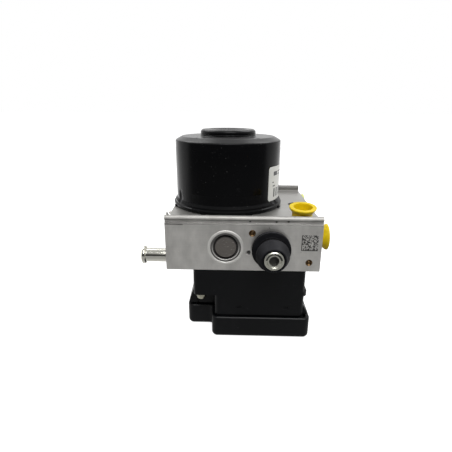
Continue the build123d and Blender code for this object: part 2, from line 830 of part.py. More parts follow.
def bush_bolt():
    """Zinc-plated shoulder bolt with a dished head and a six-sided socket."""
    seat = bush_end - bush_pocket_depth
    head = seat + bolt_head_height
    dish = head - bolt_dish_depth
    bolt = turned([
        (0, -bolt_thread_length, 0), (bolt_thread_radius - 0.7, -bolt_thread_length, 0),
        (bolt_thread_radius - seat_clearance, -bolt_thread_length + 0.7, 0),
        (bolt_thread_radius - seat_clearance, 0, 0), (bolt_shoulder_radius, 0, 0), (bolt_shoulder_radius, seat, 0),
        (bolt_head_radius, seat, 0.2), (bolt_head_radius, head - 0.5, 0.4), (bolt_head_radius - 0.7, head, 0.2),
        (bolt_dish_radius, head, 0.1), (bolt_dish_radius - 0.5, dish, 0.1), (0, dish, 0),
    ])
    return bolt - Pos(0, 0, dish - bolt_socket_depth) * extrude(RegularPolygon(bolt_socket_radius, 6), 4)


def valve_cartridge(x, y):
    """Valve body pressed into the block, with the closed dome that reaches down into the coil."""
    nose = block_base + valve_body_depth
    seat = block_base + seat_above_base
    low, floor = dome_low, dome_low + dome_end_wall
    bore = dome_radius - dome_wall
    room = plunger_high + 1.0
    body = valve_body_radius - seat_clearance
    return Pos(x, y, 0) * turned([
        (0, low, 0), (dome_radius, low, 1.6), (dome_radius, block_base - 0.05, 0), (body, block_base - 0.05, 0),
        (body, nose, 0), (valve_nose_radius - seat_clearance, nose, 0),
        (valve_nose_radius - seat_clearance, nose + valve_nose_length, 0), (outlet_radius, nose + valve_nose_length, 0),
        (outlet_radius, seat + 1.0, 0), (guide_radius + guide_clearance, seat, 0),
        (guide_radius + guide_clearance, room, 0), (bore, room, 0), (bore, floor, 0.6), (0, floor, 0),
    ])


def valve_plunger(x, y, rest_gap):
    """Iron plunger with its closing stem, rest_gap below the seat."""
    low, high = plunger_low, plunger_high
    bore = dome_radius - dome_wall - plunger_clearance
    tip = block_base + seat_above_base - rest_gap
    return Pos(x, y, 0) * turned([
        (0, low, 0), (bore - 0.6, low, 0), (bore, low + 0.6, 0), (bore, high - 0.4, 0), (bore - 0.4, high, 0),
        (guide_radius, high, 0), (guide_radius, tip - 0.9, 0), (0.5, tip, 0), (0, tip, 0),
    ])


def valve_coil(x, y):
    """Coil in its yoke, hung under the control unit's top wall, with two pins to the board."""
    top, low = housing_ceiling, coil_foot
    bore = dome_radius + coil_clearance
    waist = coil_radius - coil_waist
    coil = turned([
        (bore, low, 0), (coil_radius, low, 0), (coil_radius, low + coil_flange, 0), (waist, low + coil_flange, 0),
        (waist, top - coil_flange, 0), (coil_radius, top - coil_flange, 0), (coil_radius, top, 0), (bore, top, 0),
    ])
    for side in (-1, 1):
        coil += rod(coil_pin_radius, board_top, low + 1, side * coil_pin_pitch / 2)
    return Pos(x, y, 0) * coil


def housing_plan(inset, foot):
    """Plan outline of the control unit's housing, set in by a wall. The foot has three screw notches."""
    x0, x1 = housing_left + inset, housing_right - inset
    y0, y1 = housing_front + inset, housing_back - inset
    r = max(housing_round - inset, 0.6)
    if not foot:
        return outline([(x0, y0, r), (x1, y0, r), (x1, y1, r), (x0, y1, r)])
    side, low, high = side_notch_x - inset, side_notch_low - inset, side_notch_high + inset
    return outline([
        (front_notch_x + inset, y0, r), (x1, y0, r), (x1, low, 0.6), (side, low, 1.2), (side, high, 1.2),
        (x1, high, 0.6), (x1, y1, r), (back_notch_x + inset, y1, r), (back_notch_x + inset, back_notch_y - inset, 1.2),
        (x0, back_notch_y - inset, r), (x0, front_notch_y + inset, r),
        (front_notch_x + inset, front_notch_y + inset, 1.2),
    ])


def cover_plan(inset):
    """Plan outline of the cover: the housing's foot with a lap all round."""
    x0, x1 = cover_left + inset, cover_right - inset
    y0, y1 = housing_front - cover_lap + inset, housing_back + inset * 0 + cover_lap - inset
    front_x, back_x = front_notch_x - cover_lap + inset, back_notch_x - cover_lap + inset
    front_y, back_y = front_notch_y - cover_lap + inset, back_notch_y + cover_lap - inset
    side, low, high = side_notch_x + 1.6 - inset, side_notch_low + 1.0 - inset, side_notch_high - 1.0 + inset
    r = max(cover_round - inset, 0.8)
    return outline([
        (front_x, y0, r), (x1, y0, r), (x1, low, r), (side, low, 1.0), (side, high, 1.0), (x1, high, r), (x1, y1, r),
        (back_x, y1, r), (back_x, back_y, 3.2 + inset), (x0, back_y, r), (x0, front_y, r),
        (front_x, front_y, 3.2 + inset),
    ])


def side_flares():
    """Sloped sides that widen the foot of the housing to the cover."""
    x0, x1 = housing_left, housing_right
    left = [(x0 + 1, housing_foot, 0), (x0 + 1, flare_top, 0), (x0, flare_top - 2, 0.6),
            (x0 - flare_reach + 0.6, flare_shoulder, 0.6), (x0 - flare_reach, housing_foot, 0)]
    right = [(x1 - 1, housing_foot, 0), (x1 - 1, right_flare_top, 0), (x1, right_flare_top - 1, 0.4),
             (x1 + right_flare_reach, flare_shoulder, 0.4), (x1 + right_flare_reach + 0.4, housing_foot, 0)]
    wedge = extrude(Plane.XZ * outline(left), -(back_notch_y - front_notch_y))
    flares = Pos(0, front_notch_y, 0) * wedge
    for start, end in ((housing_front + 2.4, side_notch_low), (side_notch_high, housing_back - 2.4)):
        flares += Pos(0, start, 0) * extrude(Plane.XZ * outline(right), start - end)
    return flares


def latch_rib():
    """Rib along the right side that turns the front corner."""
    r = housing_round + rib_reach
    x0, x1 = housing_right - rib_front_wrap, housing_right + rib_reach
    plan = outline([(x0, housing_front, 0), (x1, housing_front, r), (x1, housing_back, r), (x0, housing_back, 0)])
    return upright(plan, overhang_floor, overhang_floor + rib_height)


def socket_box(inset, start, end):
    plan = RectangleRounded(socket_width - 2 * inset, socket_height - 2 * inset, socket_round - inset * 0.8)
    box = extrude(Plane.XZ * plan, start - end)
    return Pos(socket_x, start, socket_z) * box


def socket_pins(slot):
    """Bent square pins from the board through the back wall. With slot, only the wall passages."""
    pins = []
    wall = housing_back + socket_floor
    h = pin_size / 2
    for row, leg in zip(pin_rows, pin_legs):
        z = socket_z + row
        leg_y = housing_back - leg
        for k in range(pin_columns):
            x = socket_x + (k - (pin_columns - 1) / 2) * pin_pitch
            if slot:
                pins.append(brick(x - h, x + h, leg_y, wall + 1, z - h, z + h))
            else:
                flat = brick(x - h, x + h, leg_y - h, wall + pin_reach, z - h, z + h)
                pins.append(flat + brick(x - h, x + h, leg_y - h, leg_y + h, board_top, z + h))
    return pins


def ecu_housing():
    body = upright(housing_plan(0, False), overhang_floor, housing_top)
    body += upright(housing_plan(0, True), housing_foot, overhang_floor)
    body += side_flares() + latch_rib()
    body += upright(housing_plan(spigot_inset, True), cover_shelf, housing_foot)
    body += socket_box(0, housing_back - 1, housing_back + socket_length)
    body -= upright(housing_plan(spigot_inset + spigot_wall, True), cover_shelf - 1, housing_ceiling)
    body -= upright(housing_plan(housing_wall, False), overhang_floor + housing_wall, housing_ceiling)
    body -= socket_box(socket_wall, housing_back + socket_floor, housing_back + socket_length + 1)
    key_top = socket_z + socket_height / 2
    for shift in (-0.3, 0.3):
        x = socket_x + shift * socket_width
        body += brick(x - socket_key_width / 2, x + socket_key_width / 2, housing_back + socket_key_start,
                      housing_back + socket_length - socket_key_end, key_top - 0.2, key_top + socket_key_height)
    for x, y in unit_screw_places:
        body += rod(column_radius, overhang_floor, housing_top, x, y)
        body -= rod(unit_screw_radius + unit_screw_clearance, overhang_floor - 1, housing_top + 1, x, y)
    for x, y in post_places:
        body += rod(post_radius, board_top, housing_ceiling + 1, x, y)
    for x, y in valves:
        body -= rod(dome_radius + 0.6, housing_ceiling - 1, housing_top + 1, x, y)
    body -= rod(terminal_radius + 0.4, housing_ceiling - 1, housing_top + 1, terminal_x, terminal_y)
    for x in clip_x:
        z = housing_foot + clip_above_foot
        body -= brick(x - clip_width / 2, x + clip_width / 2, housing_front - 1, housing_front + clip_depth,
                      z - clip_height / 2, z + clip_height / 2)
    body -= seal_ring(housing_top - seal_depth, housing_top + 1)
    for pin in socket_pins(True):
        body -= pin
    return body


def seal_ring(start, end):
    outer = upright(housing_plan(seal_inset, False), start, end)
    return outer - upright(housing_plan(seal_inset + seal_width, False), start - 1, end + 1)


def ecu_cover():
    cover = upright(cover_plan(0), 0, cover_top)
    cover = fillet(cover.edges().group_by(Axis.Z)[0], cover_edge)
    rim = cover.edges().group_by(Axis.Z)[-1]
    cover = chamfer(rim, 0.5)
    cover -= upright(cover_plan(cover_wall), cover_shelf, cover_top + 1)
    return cover - upright(cover_plan(cover_lower_wall + 1.2), cover_floor, cover_top)


def circuit_board():
    """Board with its processor, driver chips and smoothing capacitor."""
    low = board_top - board_thickness
    inset = housing_wall + spigot_wall + board_clearance
    board = upright(housing_plan(inset, True), low, board_top)
    for x, y, w, d, h in board_chips:
        board += brick(x - w / 2, x + w / 2, y - d / 2, y + d / 2, board_top, board_top + h)
    for x, y in capacitor_places:
        board += rod(capacitor_radius, board_top, board_top + capacitor_height, x, y)
    return board


def unit_screw(x, y):
    head_low = overhang_floor - unit_screw_head_height
    screw = rod(unit_screw_radius - seat_clearance, overhang_floor, block_base + unit_screw_depth, x, y)
    head = turned([(0, head_low, 0), (unit_screw_head_radius - 0.8, head_low, 0.5),
                   (unit_screw_head_radius, overhang_floor - 2.2, 0), (unit_screw_head_radius, overhang_floor, 0),
                   (0, overhang_floor, 0)])
    return screw + Pos(x, y, 0) * head - Pos(x, y, head_low) * extrude(RegularPolygon(unit_screw_socket, 6), 2.2)


def main():
    os.makedirs("parts", exist_ok=True)
    save("valve_block", valve_block(), "lightgray")
    save("ball_plugs", Compound(children=[place * sealing_plug() for place in passages]), "peru")
    save("suction_nipple", left_face(nipple_y, nipple_above_base) * suction_nipple(), "silver")
    x, y, _ = top_ports["front"]
    half = cap_stem_length / 2
    lean = Pos(x, y, motor_face - half) * Rot(top_cap_lean, 0, 0) * Pos(0, 0, half + top_cap_lift)
    save("port_plug_top", lean * port_cap(top_cap_stand, lean_clearance), "gold")
    save("port_plug_side_front", right_face(*side_ports[0]) * port_cap(side_front_cap_stand), "gold")
    save("port_plug_side_rear", right_face(*side_ports[-1]) * port_cap(side_rear_cap_stand), "khaki")

    save("motor_can", motor_can(), "gray15")
    save("motor_end_plate", motor_end_plate(), "gray60")
    save("magnet_left", magnet(180), "gray30")
    save("magnet_right", magnet(0), "gray30")
    save("motor_shaft", motor_shaft(), "gray70")
    save("armature_core", armature_core(), "gray50")
    save("armature_windings", armature_windings(), "orangered")
    save("commutator", commutator(), "orange")
    under_floor = recess_floor - can_wall
    save("top_bearing", bearing(top_bearing_radius - seat_clearance, shaft_radius,
                                under_floor - top_bearing_height + 0.1, top_bearing_height - 0.1), "gray80")
    save("lower_bearing", bearing(lower_bearing_radius - seat_clearance, journal_radius,
                                  motor_face - lower_bearing_height, lower_bearing_height), "gray80")
    save("brush_front", brush(-1), "black")
    save("brush_rear", brush(1), "black")
    save("motor_screws", Compound(children=[motor_screw(x, y) for x, y in motor_screws_at]), "goldenrod")
    save("motor_terminals", motor_terminals(), "ivory")
    save("eccentric_needles", eccentric_needles(), "gray90")
    save("eccentric_ring", eccentric_ring(), "gray75")

    for name, sign, reach in (("front", -1, motor_from_front), ("rear", 1, block_back)):
        side = pump_side(sign)
        save(f"pump_closure_{name}", side * pump_closure(reach), "gray55")
        save(f"pump_cylinder_{name}", side * pump_cylinder(), "steelblue")
        save(f"pump_piston_{name}", side * pump_piston(), "lightsteelblue")
        save(f"pump_spring_{name}", side * pump_spring(), "dimgray")
    for name, y in zip(("front", "rear"), accumulator_y):
        place = left_face(y, pump_above_base)
        save(f"accumulator_piston_{name}", place * accumulator_piston(), "lightblue")
        save(f"accumulator_spring_{name}", place * accumulator_spring(), "dimgray")
        save(f"accumulator_cap_{name}", place * accumulator_cap(), "gray65")
    for name, face in (("front", front_face), ("rear", back_face)):
        save(f"{name}_bush", face(bush_x, pump_above_base) * mounting_bush(), "gray20")
        save(f"{name}_bush_bolt", face(bush_x, pump_above_base) * bush_bolt(), "palegoldenrod")

    for kind, x, rest_gap in (("inlet", valve_x[0], seat_gap + plunger_stroke), ("outlet", valve_x[1], seat_gap)):
        bodies = [valve_cartridge(x, y) for y in valve_y]
        save(f"{kind}_valve_bodies", Compound(children=bodies), "silver")
        for k, y in enumerate(valve_y):
            save(f"{kind}_plunger_{k + 1}", valve_plunger(x, y, rest_gap), "slategray")
    save("valve_coils", Compound(children=[valve_coil(x, y) for x, y in valves]), "darkorange")

    save("ecu_housing", ecu_housing(), "gray25")
    save("ecu_cover", ecu_cover(), "gray20")
    save("ecu_gasket", seal_ring(housing_top - seal_depth, block_base), "darkgreen")
    save("circuit_board", circuit_board(), "green")
    save("connector_pins", Compound(children=socket_pins(False)), "gold")
    save("ecu_screws", Compound(children=[unit_screw(x, y) for x, y in unit_screw_places]), "palegoldenrod")


main()
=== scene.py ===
"""Looks of the brake control module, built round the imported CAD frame."""

import json
import logging
import math
import random
from contextlib import contextmanager
from dataclasses import dataclass, field
from enum import Enum
from typing import Any, Callable, Iterator, Mapping, Sequence

import bmesh
import bpy
from mathutils import Matrix, Vector


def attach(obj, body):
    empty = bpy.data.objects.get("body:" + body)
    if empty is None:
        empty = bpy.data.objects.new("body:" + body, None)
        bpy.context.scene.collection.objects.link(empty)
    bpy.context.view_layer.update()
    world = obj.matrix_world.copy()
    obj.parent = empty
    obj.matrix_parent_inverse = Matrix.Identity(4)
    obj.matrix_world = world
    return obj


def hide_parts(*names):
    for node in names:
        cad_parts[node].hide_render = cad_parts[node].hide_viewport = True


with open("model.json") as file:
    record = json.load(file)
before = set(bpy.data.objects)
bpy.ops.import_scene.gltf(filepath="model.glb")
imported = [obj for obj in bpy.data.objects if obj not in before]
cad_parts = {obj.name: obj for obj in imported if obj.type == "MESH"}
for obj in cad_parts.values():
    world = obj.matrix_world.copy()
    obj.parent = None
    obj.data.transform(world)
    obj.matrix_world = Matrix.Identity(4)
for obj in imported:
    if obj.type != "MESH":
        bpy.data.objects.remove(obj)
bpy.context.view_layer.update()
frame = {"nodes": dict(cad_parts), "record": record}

LOG = logging.getLogger("brake_module")
MM = 0.001
ROOT = "module_body"

Point = tuple[float, float, float]
Colour = tuple[float, float, float]
Span = tuple[float, float]
Row = tuple[float, float, float, float]
Spot = tuple[Point, float]
Piece = bpy.types.Object
Sockets = dict[str, Any]


class Face(Enum):
    """Sides of the valve block, as outward directions."""

    FRONT = (0.0, -1.0, 0.0)
    REAR = (0.0, 1.0, 0.0)
    RIGHT = (1.0, 0.0, 0.0)
    TOP = (0.0, 0.0, 1.0)


class Grain(Enum):
    """How tool marks run over a metal surface."""

    NONE = "none"
    AROUND = "around"


# Shader graph
class Level:
    """A number in a shader: wraps a socket, and adds a Math node for each operator."""

    def __init__(self, graph: "Graph", socket: Any) -> None:
        """Keeps the graph and the socket."""
        self.graph = graph
        self.socket = socket

    def _math(self, operation: str, first: Any, second: Any = 0.0, clamp: bool = False) -> "Level":
        """Adds one Math node.

        Args:
            operation: the Math node's operation.
            first: value or Level.
            second: value or Level.
            clamp: whether the result is kept between 0 and 1.

        Returns:
            The node's result.
        """
        settings = {"operation": operation, "use_clamp": clamp}
        return Level(self.graph, self.graph.add("ShaderNodeMath", settings, {0: first, 1: second}).outputs[0])

    def __add__(self, other: Any) -> "Level":
        """Sum."""
        return self._math("ADD", self, other)

    __radd__ = __add__

    def __sub__(self, other: Any) -> "Level":
        """Difference."""
        return self._math("SUBTRACT", self, other)

    def __rsub__(self, other: Any) -> "Level":
        """Difference, reflected."""
        return self._math("SUBTRACT", other, self)

    def __mul__(self, other: Any) -> "Level":
        """Product."""
        return self._math("MULTIPLY", self, other)

    __rmul__ = __mul__

    def __truediv__(self, other: Any) -> "Level":
        """Quotient."""
        return self._math("DIVIDE", self, other)

    def __gt__(self, other: Any) -> "Level":
        """1 where this is more."""
        return self._math("GREATER_THAN", self, other)

    def __lt__(self, other: Any) -> "Level":
        """1 where this is less."""
        return self._math("LESS_THAN", self, other)

    def held(self) -> "Level":
        """The value kept between 0 and 1."""
        return self._math("ADD", self, 0.0, clamp=True)

    def size(self) -> "Level":
        """The value without its sign."""
        return self._math("ABSOLUTE", self)

    def root(self) -> "Level":
        """Square root."""
        return self._math("SQRT", self)

    def wave(self) -> "Level":
        """Sine of the value."""
        return self._math("SINE", self)

    def ripple(self) -> "Level":
        """Sine of the value, moved to 0 to 1."""
        return self.wave() * 0.5 + 0.5

    def within(self, low: Any, high: Any) -> "Level":
        """1 between two limits."""
        return (self > low) * (self < high)

    def past(self, start: float, gain: float) -> "Level":
        """Rise above a start, times a gain, kept between 0 and 1."""
        return ((self - start) * gain).held()


def apart(first: Level, second: Level, centre: Span = (0.0, 0.0)) -> Level:
    """Distance from a centre in the plane of two axes."""
    along, across = first - centre[0], second - centre[1]
    return (along * along + across * across).root()


class Graph:
    """A material or world under construction."""

    def __init__(self, name: str, world: bool = False) -> None:
        """Starts an empty node tree.

        Args:
            name: the name of the material or world.
            world: whether the tree is a world's.
        """
        self.owner = (bpy.data.worlds if world else bpy.data.materials).new(name)
        self.owner.use_nodes = True
        self.tree = self.owner.node_tree
        self.tree.nodes.clear()
        self.output = self.add("ShaderNodeOutputWorld" if world else "ShaderNodeOutputMaterial")
        self.coords = self.add("ShaderNodeTexCoord")

    def add(self, kind: str, settings: Mapping[str, Any] | None = None,
            sockets: Mapping[Any, Any] | None = None) -> Any:
        """Adds a node.

        Args:
            kind: the node's type.
            settings: its properties, set first.
            sockets: values or links of its input sockets, by index or name.

        Returns:
            The node.
        """
        node = self.tree.nodes.new(kind)
        for key, value in (settings or {}).items():
            setattr(node, key, value)
        for key, value in (sockets or {}).items():
            socket = node.inputs[key]
            if isinstance(value, Level):
                self.tree.links.new(value.socket, socket)
            elif isinstance(value, bpy.types.NodeSocket):
                self.tree.links.new(value, socket)
            elif isinstance(value, tuple) and len(value) == 3 and len(socket.default_value) == 4:
                socket.default_value = (*value, 1.0)
            else:
                socket.default_value = value
        return node

    def place(self, stretch: Point = (1.0, 1.0, 1.0)) -> Any:
        """Object coordinates in millimetres, stretched along each axis."""
        sockets = {0: self.coords.outputs["Object"], 1: tuple(part / MM for part in stretch)}
        return self.add("ShaderNodeVectorMath", {"operation": "MULTIPLY"}, sockets).outputs[0]

    def axes(self, socket: Any = None) -> tuple[Level, ...]:
        """A vector's three numbers, or the place in millimetres."""
        vector = self.place() if socket is None else socket
        return tuple(Level(self, part) for part in self.add("ShaderNodeSeparateXYZ", None, {0: vector}).outputs)

    def sides(self) -> tuple[Level, ...]:
        """How far the surface faces along X, Y and Z, from 0 to 1."""
        return tuple(axis.size() for axis in self.axes(self.coords.outputs["Normal"]))

    def noise(self, grain_mm: float, stretch: Point = (1.0, 1.0, 1.0), detail: float = 3.0,
              rough: float = 0.55) -> Level:
        """Smooth noise, about 0.5 on average.

        Args:
            grain_mm: size of its spots in millimetres.
            stretch: factor along each axis.
            detail: octaves.
            rough: weight of the finer octaves.

        Returns:
            The noise.
        """
        sockets = {"Vector": self.place(stretch), "Scale": 1.0 / grain_mm, "Detail": detail, "Roughness": rough}
        return Level(self, self.add("ShaderNodeTexNoise", {"noise_dimensions": "3D"}, sockets).outputs[0])

    def specks(self, spacing_mm: float, size: float) -> Level:
        """Scattered round specks.

        Args:
            spacing_mm: size of the cells that hold one each.
            size: their radius, as a share of a cell.

        Returns:
            1 inside, 0 elsewhere.
        """
        sockets = {"Vector": self.place(), "Scale": 1.0 / spacing_mm}
        cells = self.add("ShaderNodeTexVoronoi", {"feature": "F1"}, sockets)
        return (Level(self, cells.outputs["Distance"]) < size) * (self.noise(spacing_mm * 2.3) > 0.56)

    def scratches(self, grain_mm: float, stretch: Point, level: float, spread: Span,
                  detail: float = 1.0) -> Level:
        """1 on fine scratches, 0 elsewhere.

        Args:
            grain_mm: their size in millimetres.
            stretch: factor along each axis.
            level: how much of the noise is left out.
            spread: size of the patches that have them, and how much of those is left out.
            detail: octaves.

        Returns:
            The mask.
        """
        return (self.noise(grain_mm, stretch, detail=detail) > level) * (self.noise(spread[0]) > spread[1])

    def eased(self, level: Level, start: float, end: float, low: float = 0.0) -> Level:
        """A smooth rise.

        Args:
            level: what it follows.
            start: where it starts.
            end: where it reaches 1.
            low: its value before the start.

        Returns:
            The risen level.
        """
        node = self.add("ShaderNodeMapRange", {"interpolation_type": "SMOOTHSTEP"},
                        {0: level, 1: start, 2: end, 3: low, 4: 1.0})
        return Level(self, node.outputs[0])

    def rays(self, *kinds: str) -> list[Level]:
        """1 for each kind of ray that sees the surface."""
        path = self.add("ShaderNodeLightPath")
        return [Level(self, path.outputs[f"Is {kind} Ray"]) for kind in kinds]

    def mix(self, factor: Level | float, first: Any, second: Any, blend: str = "MIX") -> Any:
        """Blends two colours.

        Args:
            factor: share of the second.
            first: colour or socket.
            second: colour or socket.
            blend: the way they blend.

        Returns:
            A colour socket.
        """
        settings = {"data_type": "RGBA", "blend_type": blend}
        return self.add("ShaderNodeMix", settings, {0: factor, 6: first, 7: second}).outputs[2]

    def tinted(self, colour: Any, level: Level) -> Any:
        """A colour made lighter or darker by a level about 1."""
        spread = self.add("ShaderNodeCombineXYZ", None, {0: level, 1: level, 2: level})
        return self.mix(1.0, colour, spread.outputs[0], "MULTIPLY")

    def bump(self, height: Level, depth_mm: float, under: Any = None) -> Any:
        """Relief from a height.

        Args:
            height: from 0 to 1.
            depth_mm: how deep 1 is.
            under: normal of an earlier bump.

        Returns:
            A normal socket.
        """
        sockets = {"Height": height, "Distance": depth_mm * MM, "Strength": 1.0}
        if under is not None:
            sockets["Normal"] = under
        return self.add("ShaderNodeBump", None, sockets).outputs[0]

    def end(self, shader: Any) -> Any:
        """Links the last shader to the output and returns the material or world."""
        self.tree.links.new(shader.outputs[0], self.output.inputs[0])
        return self.owner

    def blend(self, factor: Level, first: Any, second: Any) -> Any:
        """Ends the graph with a blend of two shaders, and returns the material or world."""
        sockets = {0: factor, 1: first.outputs[0], 2: second.outputs[0]}
        return self.end(self.add("ShaderNodeMixShader", None, sockets))


# Finishes
@dataclass(frozen=True)
class Finish:
    """What a surface is made of."""

    name: str
    colour: Colour
    roughness: float = 0.5

    def shade(self, graph: Graph) -> Sockets:
        """The surface shader's inputs, with underscores for spaces."""
        return dict(Base_Color=self.colour, Roughness=self.roughness)

    def material(self) -> bpy.types.Material:
        """The finish's material, made once.

        Returns:
            The material.
        """
        done = bpy.data.materials.get(self.name)
        if done:
            return done
        graph = Graph(self.name)
        sockets = {key.replace("_", " "): value for key, value in self.shade(graph).items()}
        return graph.end(graph.add("ShaderNodeBsdfPrincipled", None, sockets))


@dataclass(frozen=True)
class MilledAluminium(Finish):
    """Bare extruded bar: drag lines along the extrusion, mill arcs on the cut ends."""

    line_mm: float = 0.35
    arc_mm: float = 0.9
    arc_centre: Span = (0.0, -30.0)
    sweep_centre: Span = (-90.0, 0.0)
    bore_radius: float = 4.8
    bore_depth: float = 14.0
    mouth_radius: float = 6.0
    top_bore: Point = (51.5, -6.2, 82.42)
    side_bores: tuple[Point, ...] = ((61.1, -16.7, 68.6), (61.1, 8.8, 72.0))
    lip_foot: float = 82.75
    lip_neck: float = 84.6
    lip_face: float = -54.0
    lip_root: float = -50.0
    rear_lip: float = 35.0
    # Where shade is painted under the front lip: the ledge, its rim over a highlight, a band at the left end.
    ledge: Span = (81.3, 82.75)
    ledge_rim: Span = (81.7, 82.75)
    left_ledge_shade: Span = (80.8, 81.7)
    left_ledge_shade_end: float = -27.0
    # Colour of dark spots, and of painted shade in the nick by the bush and on the open ports' walls.
    soot_and_shade: Colour = (0.026, 0.024, 0.022)
    # The first spot is painted shade in the nick left of the bush.
    soot_and_shade_spots: tuple[Spot, ...] = (
        ((14.9, -55.2, 62.9), 1.8), ((15.3, -55.2, 83.5), 1.2), ((31.8, -55.2, 83.3), 1.3),
        ((39.5, -55.2, 83.7), 1.2), ((48.4, -55.2, 63.6), 0.7), ((27.4, -55.2, 79.6), 0.9),
        ((46.0, -44.0, 82.5), 1.1), ((-38.7, -20.0, 61.0), 1.4), ((61.3, 20.0, 58.0), 1.2),
        ((10.0, 44.8, 60.0), 1.2),
    )
    bright_spots: tuple[Spot, ...] = (((-30.4, -55.2, 62.9), 0.75), ((16.6, -55.2, 63.9), 0.6))

    @staticmethod
    def spots(place: Sequence[Level], ragged: Level, spots: Sequence[Spot]) -> Level:
        """Ragged round spots.

        Args:
            place: place along X, Y and Z, in millimetres.
            ragged: noise that breaks up their edges, in millimetres.
            spots: centre and size of each.

        Returns:
            1 inside, 0 outside.
        """
        level: Level | float = 0.0
        for centre, spread in spots:
            x, y, z = (axis - middle for axis, middle in zip(place, centre))
            away = (x * x + y * y * 0.1 + z * z).root()
            level = (3.4 - (away + ragged) / spread * 2.5).held() + level
        return level.held()

    def port_wall_shade(self, x: Level, y: Level, z: Level) -> Level:
        """1 on the walls of the open ports, below their mouths, where shade is painted.

        Args:
            x: place along X, in millimetres.
            y: place along Y.
            z: place along Z.

        Returns:
            The mask.
        """
        mouth_x, mouth_y, mouth_z = self.top_bore
        level = (apart(x, y, (mouth_x, mouth_y)) < self.mouth_radius) * (z < mouth_z)
        for end, bore_y, bore_z in self.side_bores:
            wall = apart(y, z, (bore_y, bore_z)) < self.bore_radius
            level = level + wall * x.within(end - self.bore_depth, end)
        return level

    def shade(self, graph: Graph) -> Sockets:
        """Builds the surface.

        Args:
            graph: the graph of the material.

        Returns:
            The surface shader's inputs.
        """
        nx, ny, nz = graph.sides()
        x, y, z = graph.axes()
        lines = graph.noise(self.line_mm, (0.012, 1.0, 1.0), detail=2.0)
        broad = graph.noise(9.0, (0.25, 1.0, 1.0), detail=4.0)
        pitch = 2 * math.pi / self.arc_mm
        arc = (apart(y, z, self.arc_centre) * pitch + broad * 3.0).ripple()
        sweep = (apart(x, y, self.sweep_centre) * pitch + broad * 3.0).ripple()
        marks = lines * ny + arc * nx + sweep * nz
        stain = graph.noise(22.0, detail=5.0, rough=0.6)
        # Faces that point up are tinted darker.
        colour = graph.tinted(self.colour, 0.93 + marks * 0.12 + (broad - 0.5) * 0.22 - nz * 0.36)
        colour = graph.mix(stain.past(0.58, 3.0) * 0.22, colour, (0.42, 0.38, 0.33))
        colour = graph.mix(graph.specks(2.4, 0.06) * 0.45, colour, (0.20, 0.19, 0.18))

        # Painted shade: lips, under and on the front lip, over the ledge rim's highlight, and at the left end.
        lip, front, root = z > self.lip_foot, y < self.lip_face, y < self.lip_root
        shade = lip * 0.18 + z.within(*self.ledge) * front * 0.36 + lip * (y > self.rear_lip) * 0.50
        shade = shade + z.within(self.lip_foot, self.lip_neck) * front * 0.10
        shade = shade + z.within(*self.ledge_rim) * root * (nz > 0.12) * 0.28
        shade = shade + z.within(*self.left_ledge_shade) * root * (x < self.left_ledge_shade_end) * 0.45
        colour = graph.tinted(colour, 1.0 - shade)
        smudge = graph.noise(13.0, (1.0, 1.0, 0.45), detail=5.0, rough=0.6)
        patch = graph.noise(3.5, (0.6, 1.0, 0.35), detail=4.0)
        colour = graph.tinted(colour, 1.0 + (smudge - 0.5) * ny * 0.8 + (patch - 0.5) * ny * 0.35)

        ragged = graph.noise(1.1, detail=3.0) * 1.4
        # Dark spots, and painted shade in the nick and on the open ports' walls.
        soot_and_shade = (self.spots((x, y, z), ragged, self.soot_and_shade_spots) + self.port_wall_shade(x, y, z)).held()
        bright = self.spots((x, y, z), ragged, self.bright_spots)
        colour = graph.mix(soot_and_shade * 0.98, colour, self.soot_and_shade)
        colour = graph.mix(bright * 0.8, colour, (0.80, 0.79, 0.77))
        scratch = graph.scratches(0.8, (0.12, 2.2, 2.2), 0.73, (8.0, 0.53))
        scratch = scratch + graph.scratches(0.8, (2.2, 2.2, 0.15), 0.745, (10.0, 0.55))
        colour = graph.mix(scratch.held() * 0.5, colour, (0.72, 0.71, 0.69))
        rough = self.roughness + (marks - 0.5) * 0.10 + (stain - 0.5) * 0.16 + soot_and_shade * 0.3 + lip * 0.20
        return dict(Base_Color=colour, Metallic=0.86 - soot_and_shade * 0.7, Roughness=rough.held(),
                    Normal=graph.bump(marks * 0.7 + broad * 0.3, 0.016))


@dataclass(frozen=True)
class PlatedMetal(Finish):
    """Plated or ground metal with fine mottling and optional tool lines."""

    grain: Grain = Grain.NONE
    shade_spread: float = 0.12
    grime: Colour = (0.10, 0.085, 0.07)
    grime_share: float = 0.25
    metallic: float = 1.0

    def shade(self, graph: Graph) -> Sockets:
        """Builds the surface.

        Args:
            graph: the graph of the material.

        Returns:
            The surface shader's inputs.
        """
        fine = graph.noise(0.5, detail=2.0)
        cloud = graph.noise(4.5, detail=4.0)
        if self.grain is Grain.AROUND:
            _, _, z = graph.axes()
            fine = fine * 0.4 + (z * 9.0).ripple() * 0.6
        colour = graph.tinted(self.colour, 1.0 - self.shade_spread / 2 + cloud * self.shade_spread)
        colour = graph.mix(cloud.past(0.55, 4.0) * self.grime_share, colour, self.grime)
        rough = (self.roughness + (cloud - 0.5) * 0.22 + (fine - 0.5) * 0.08).held()
        return dict(Base_Color=colour, Metallic=self.metallic, Roughness=rough, Normal=graph.bump(fine, 0.012))


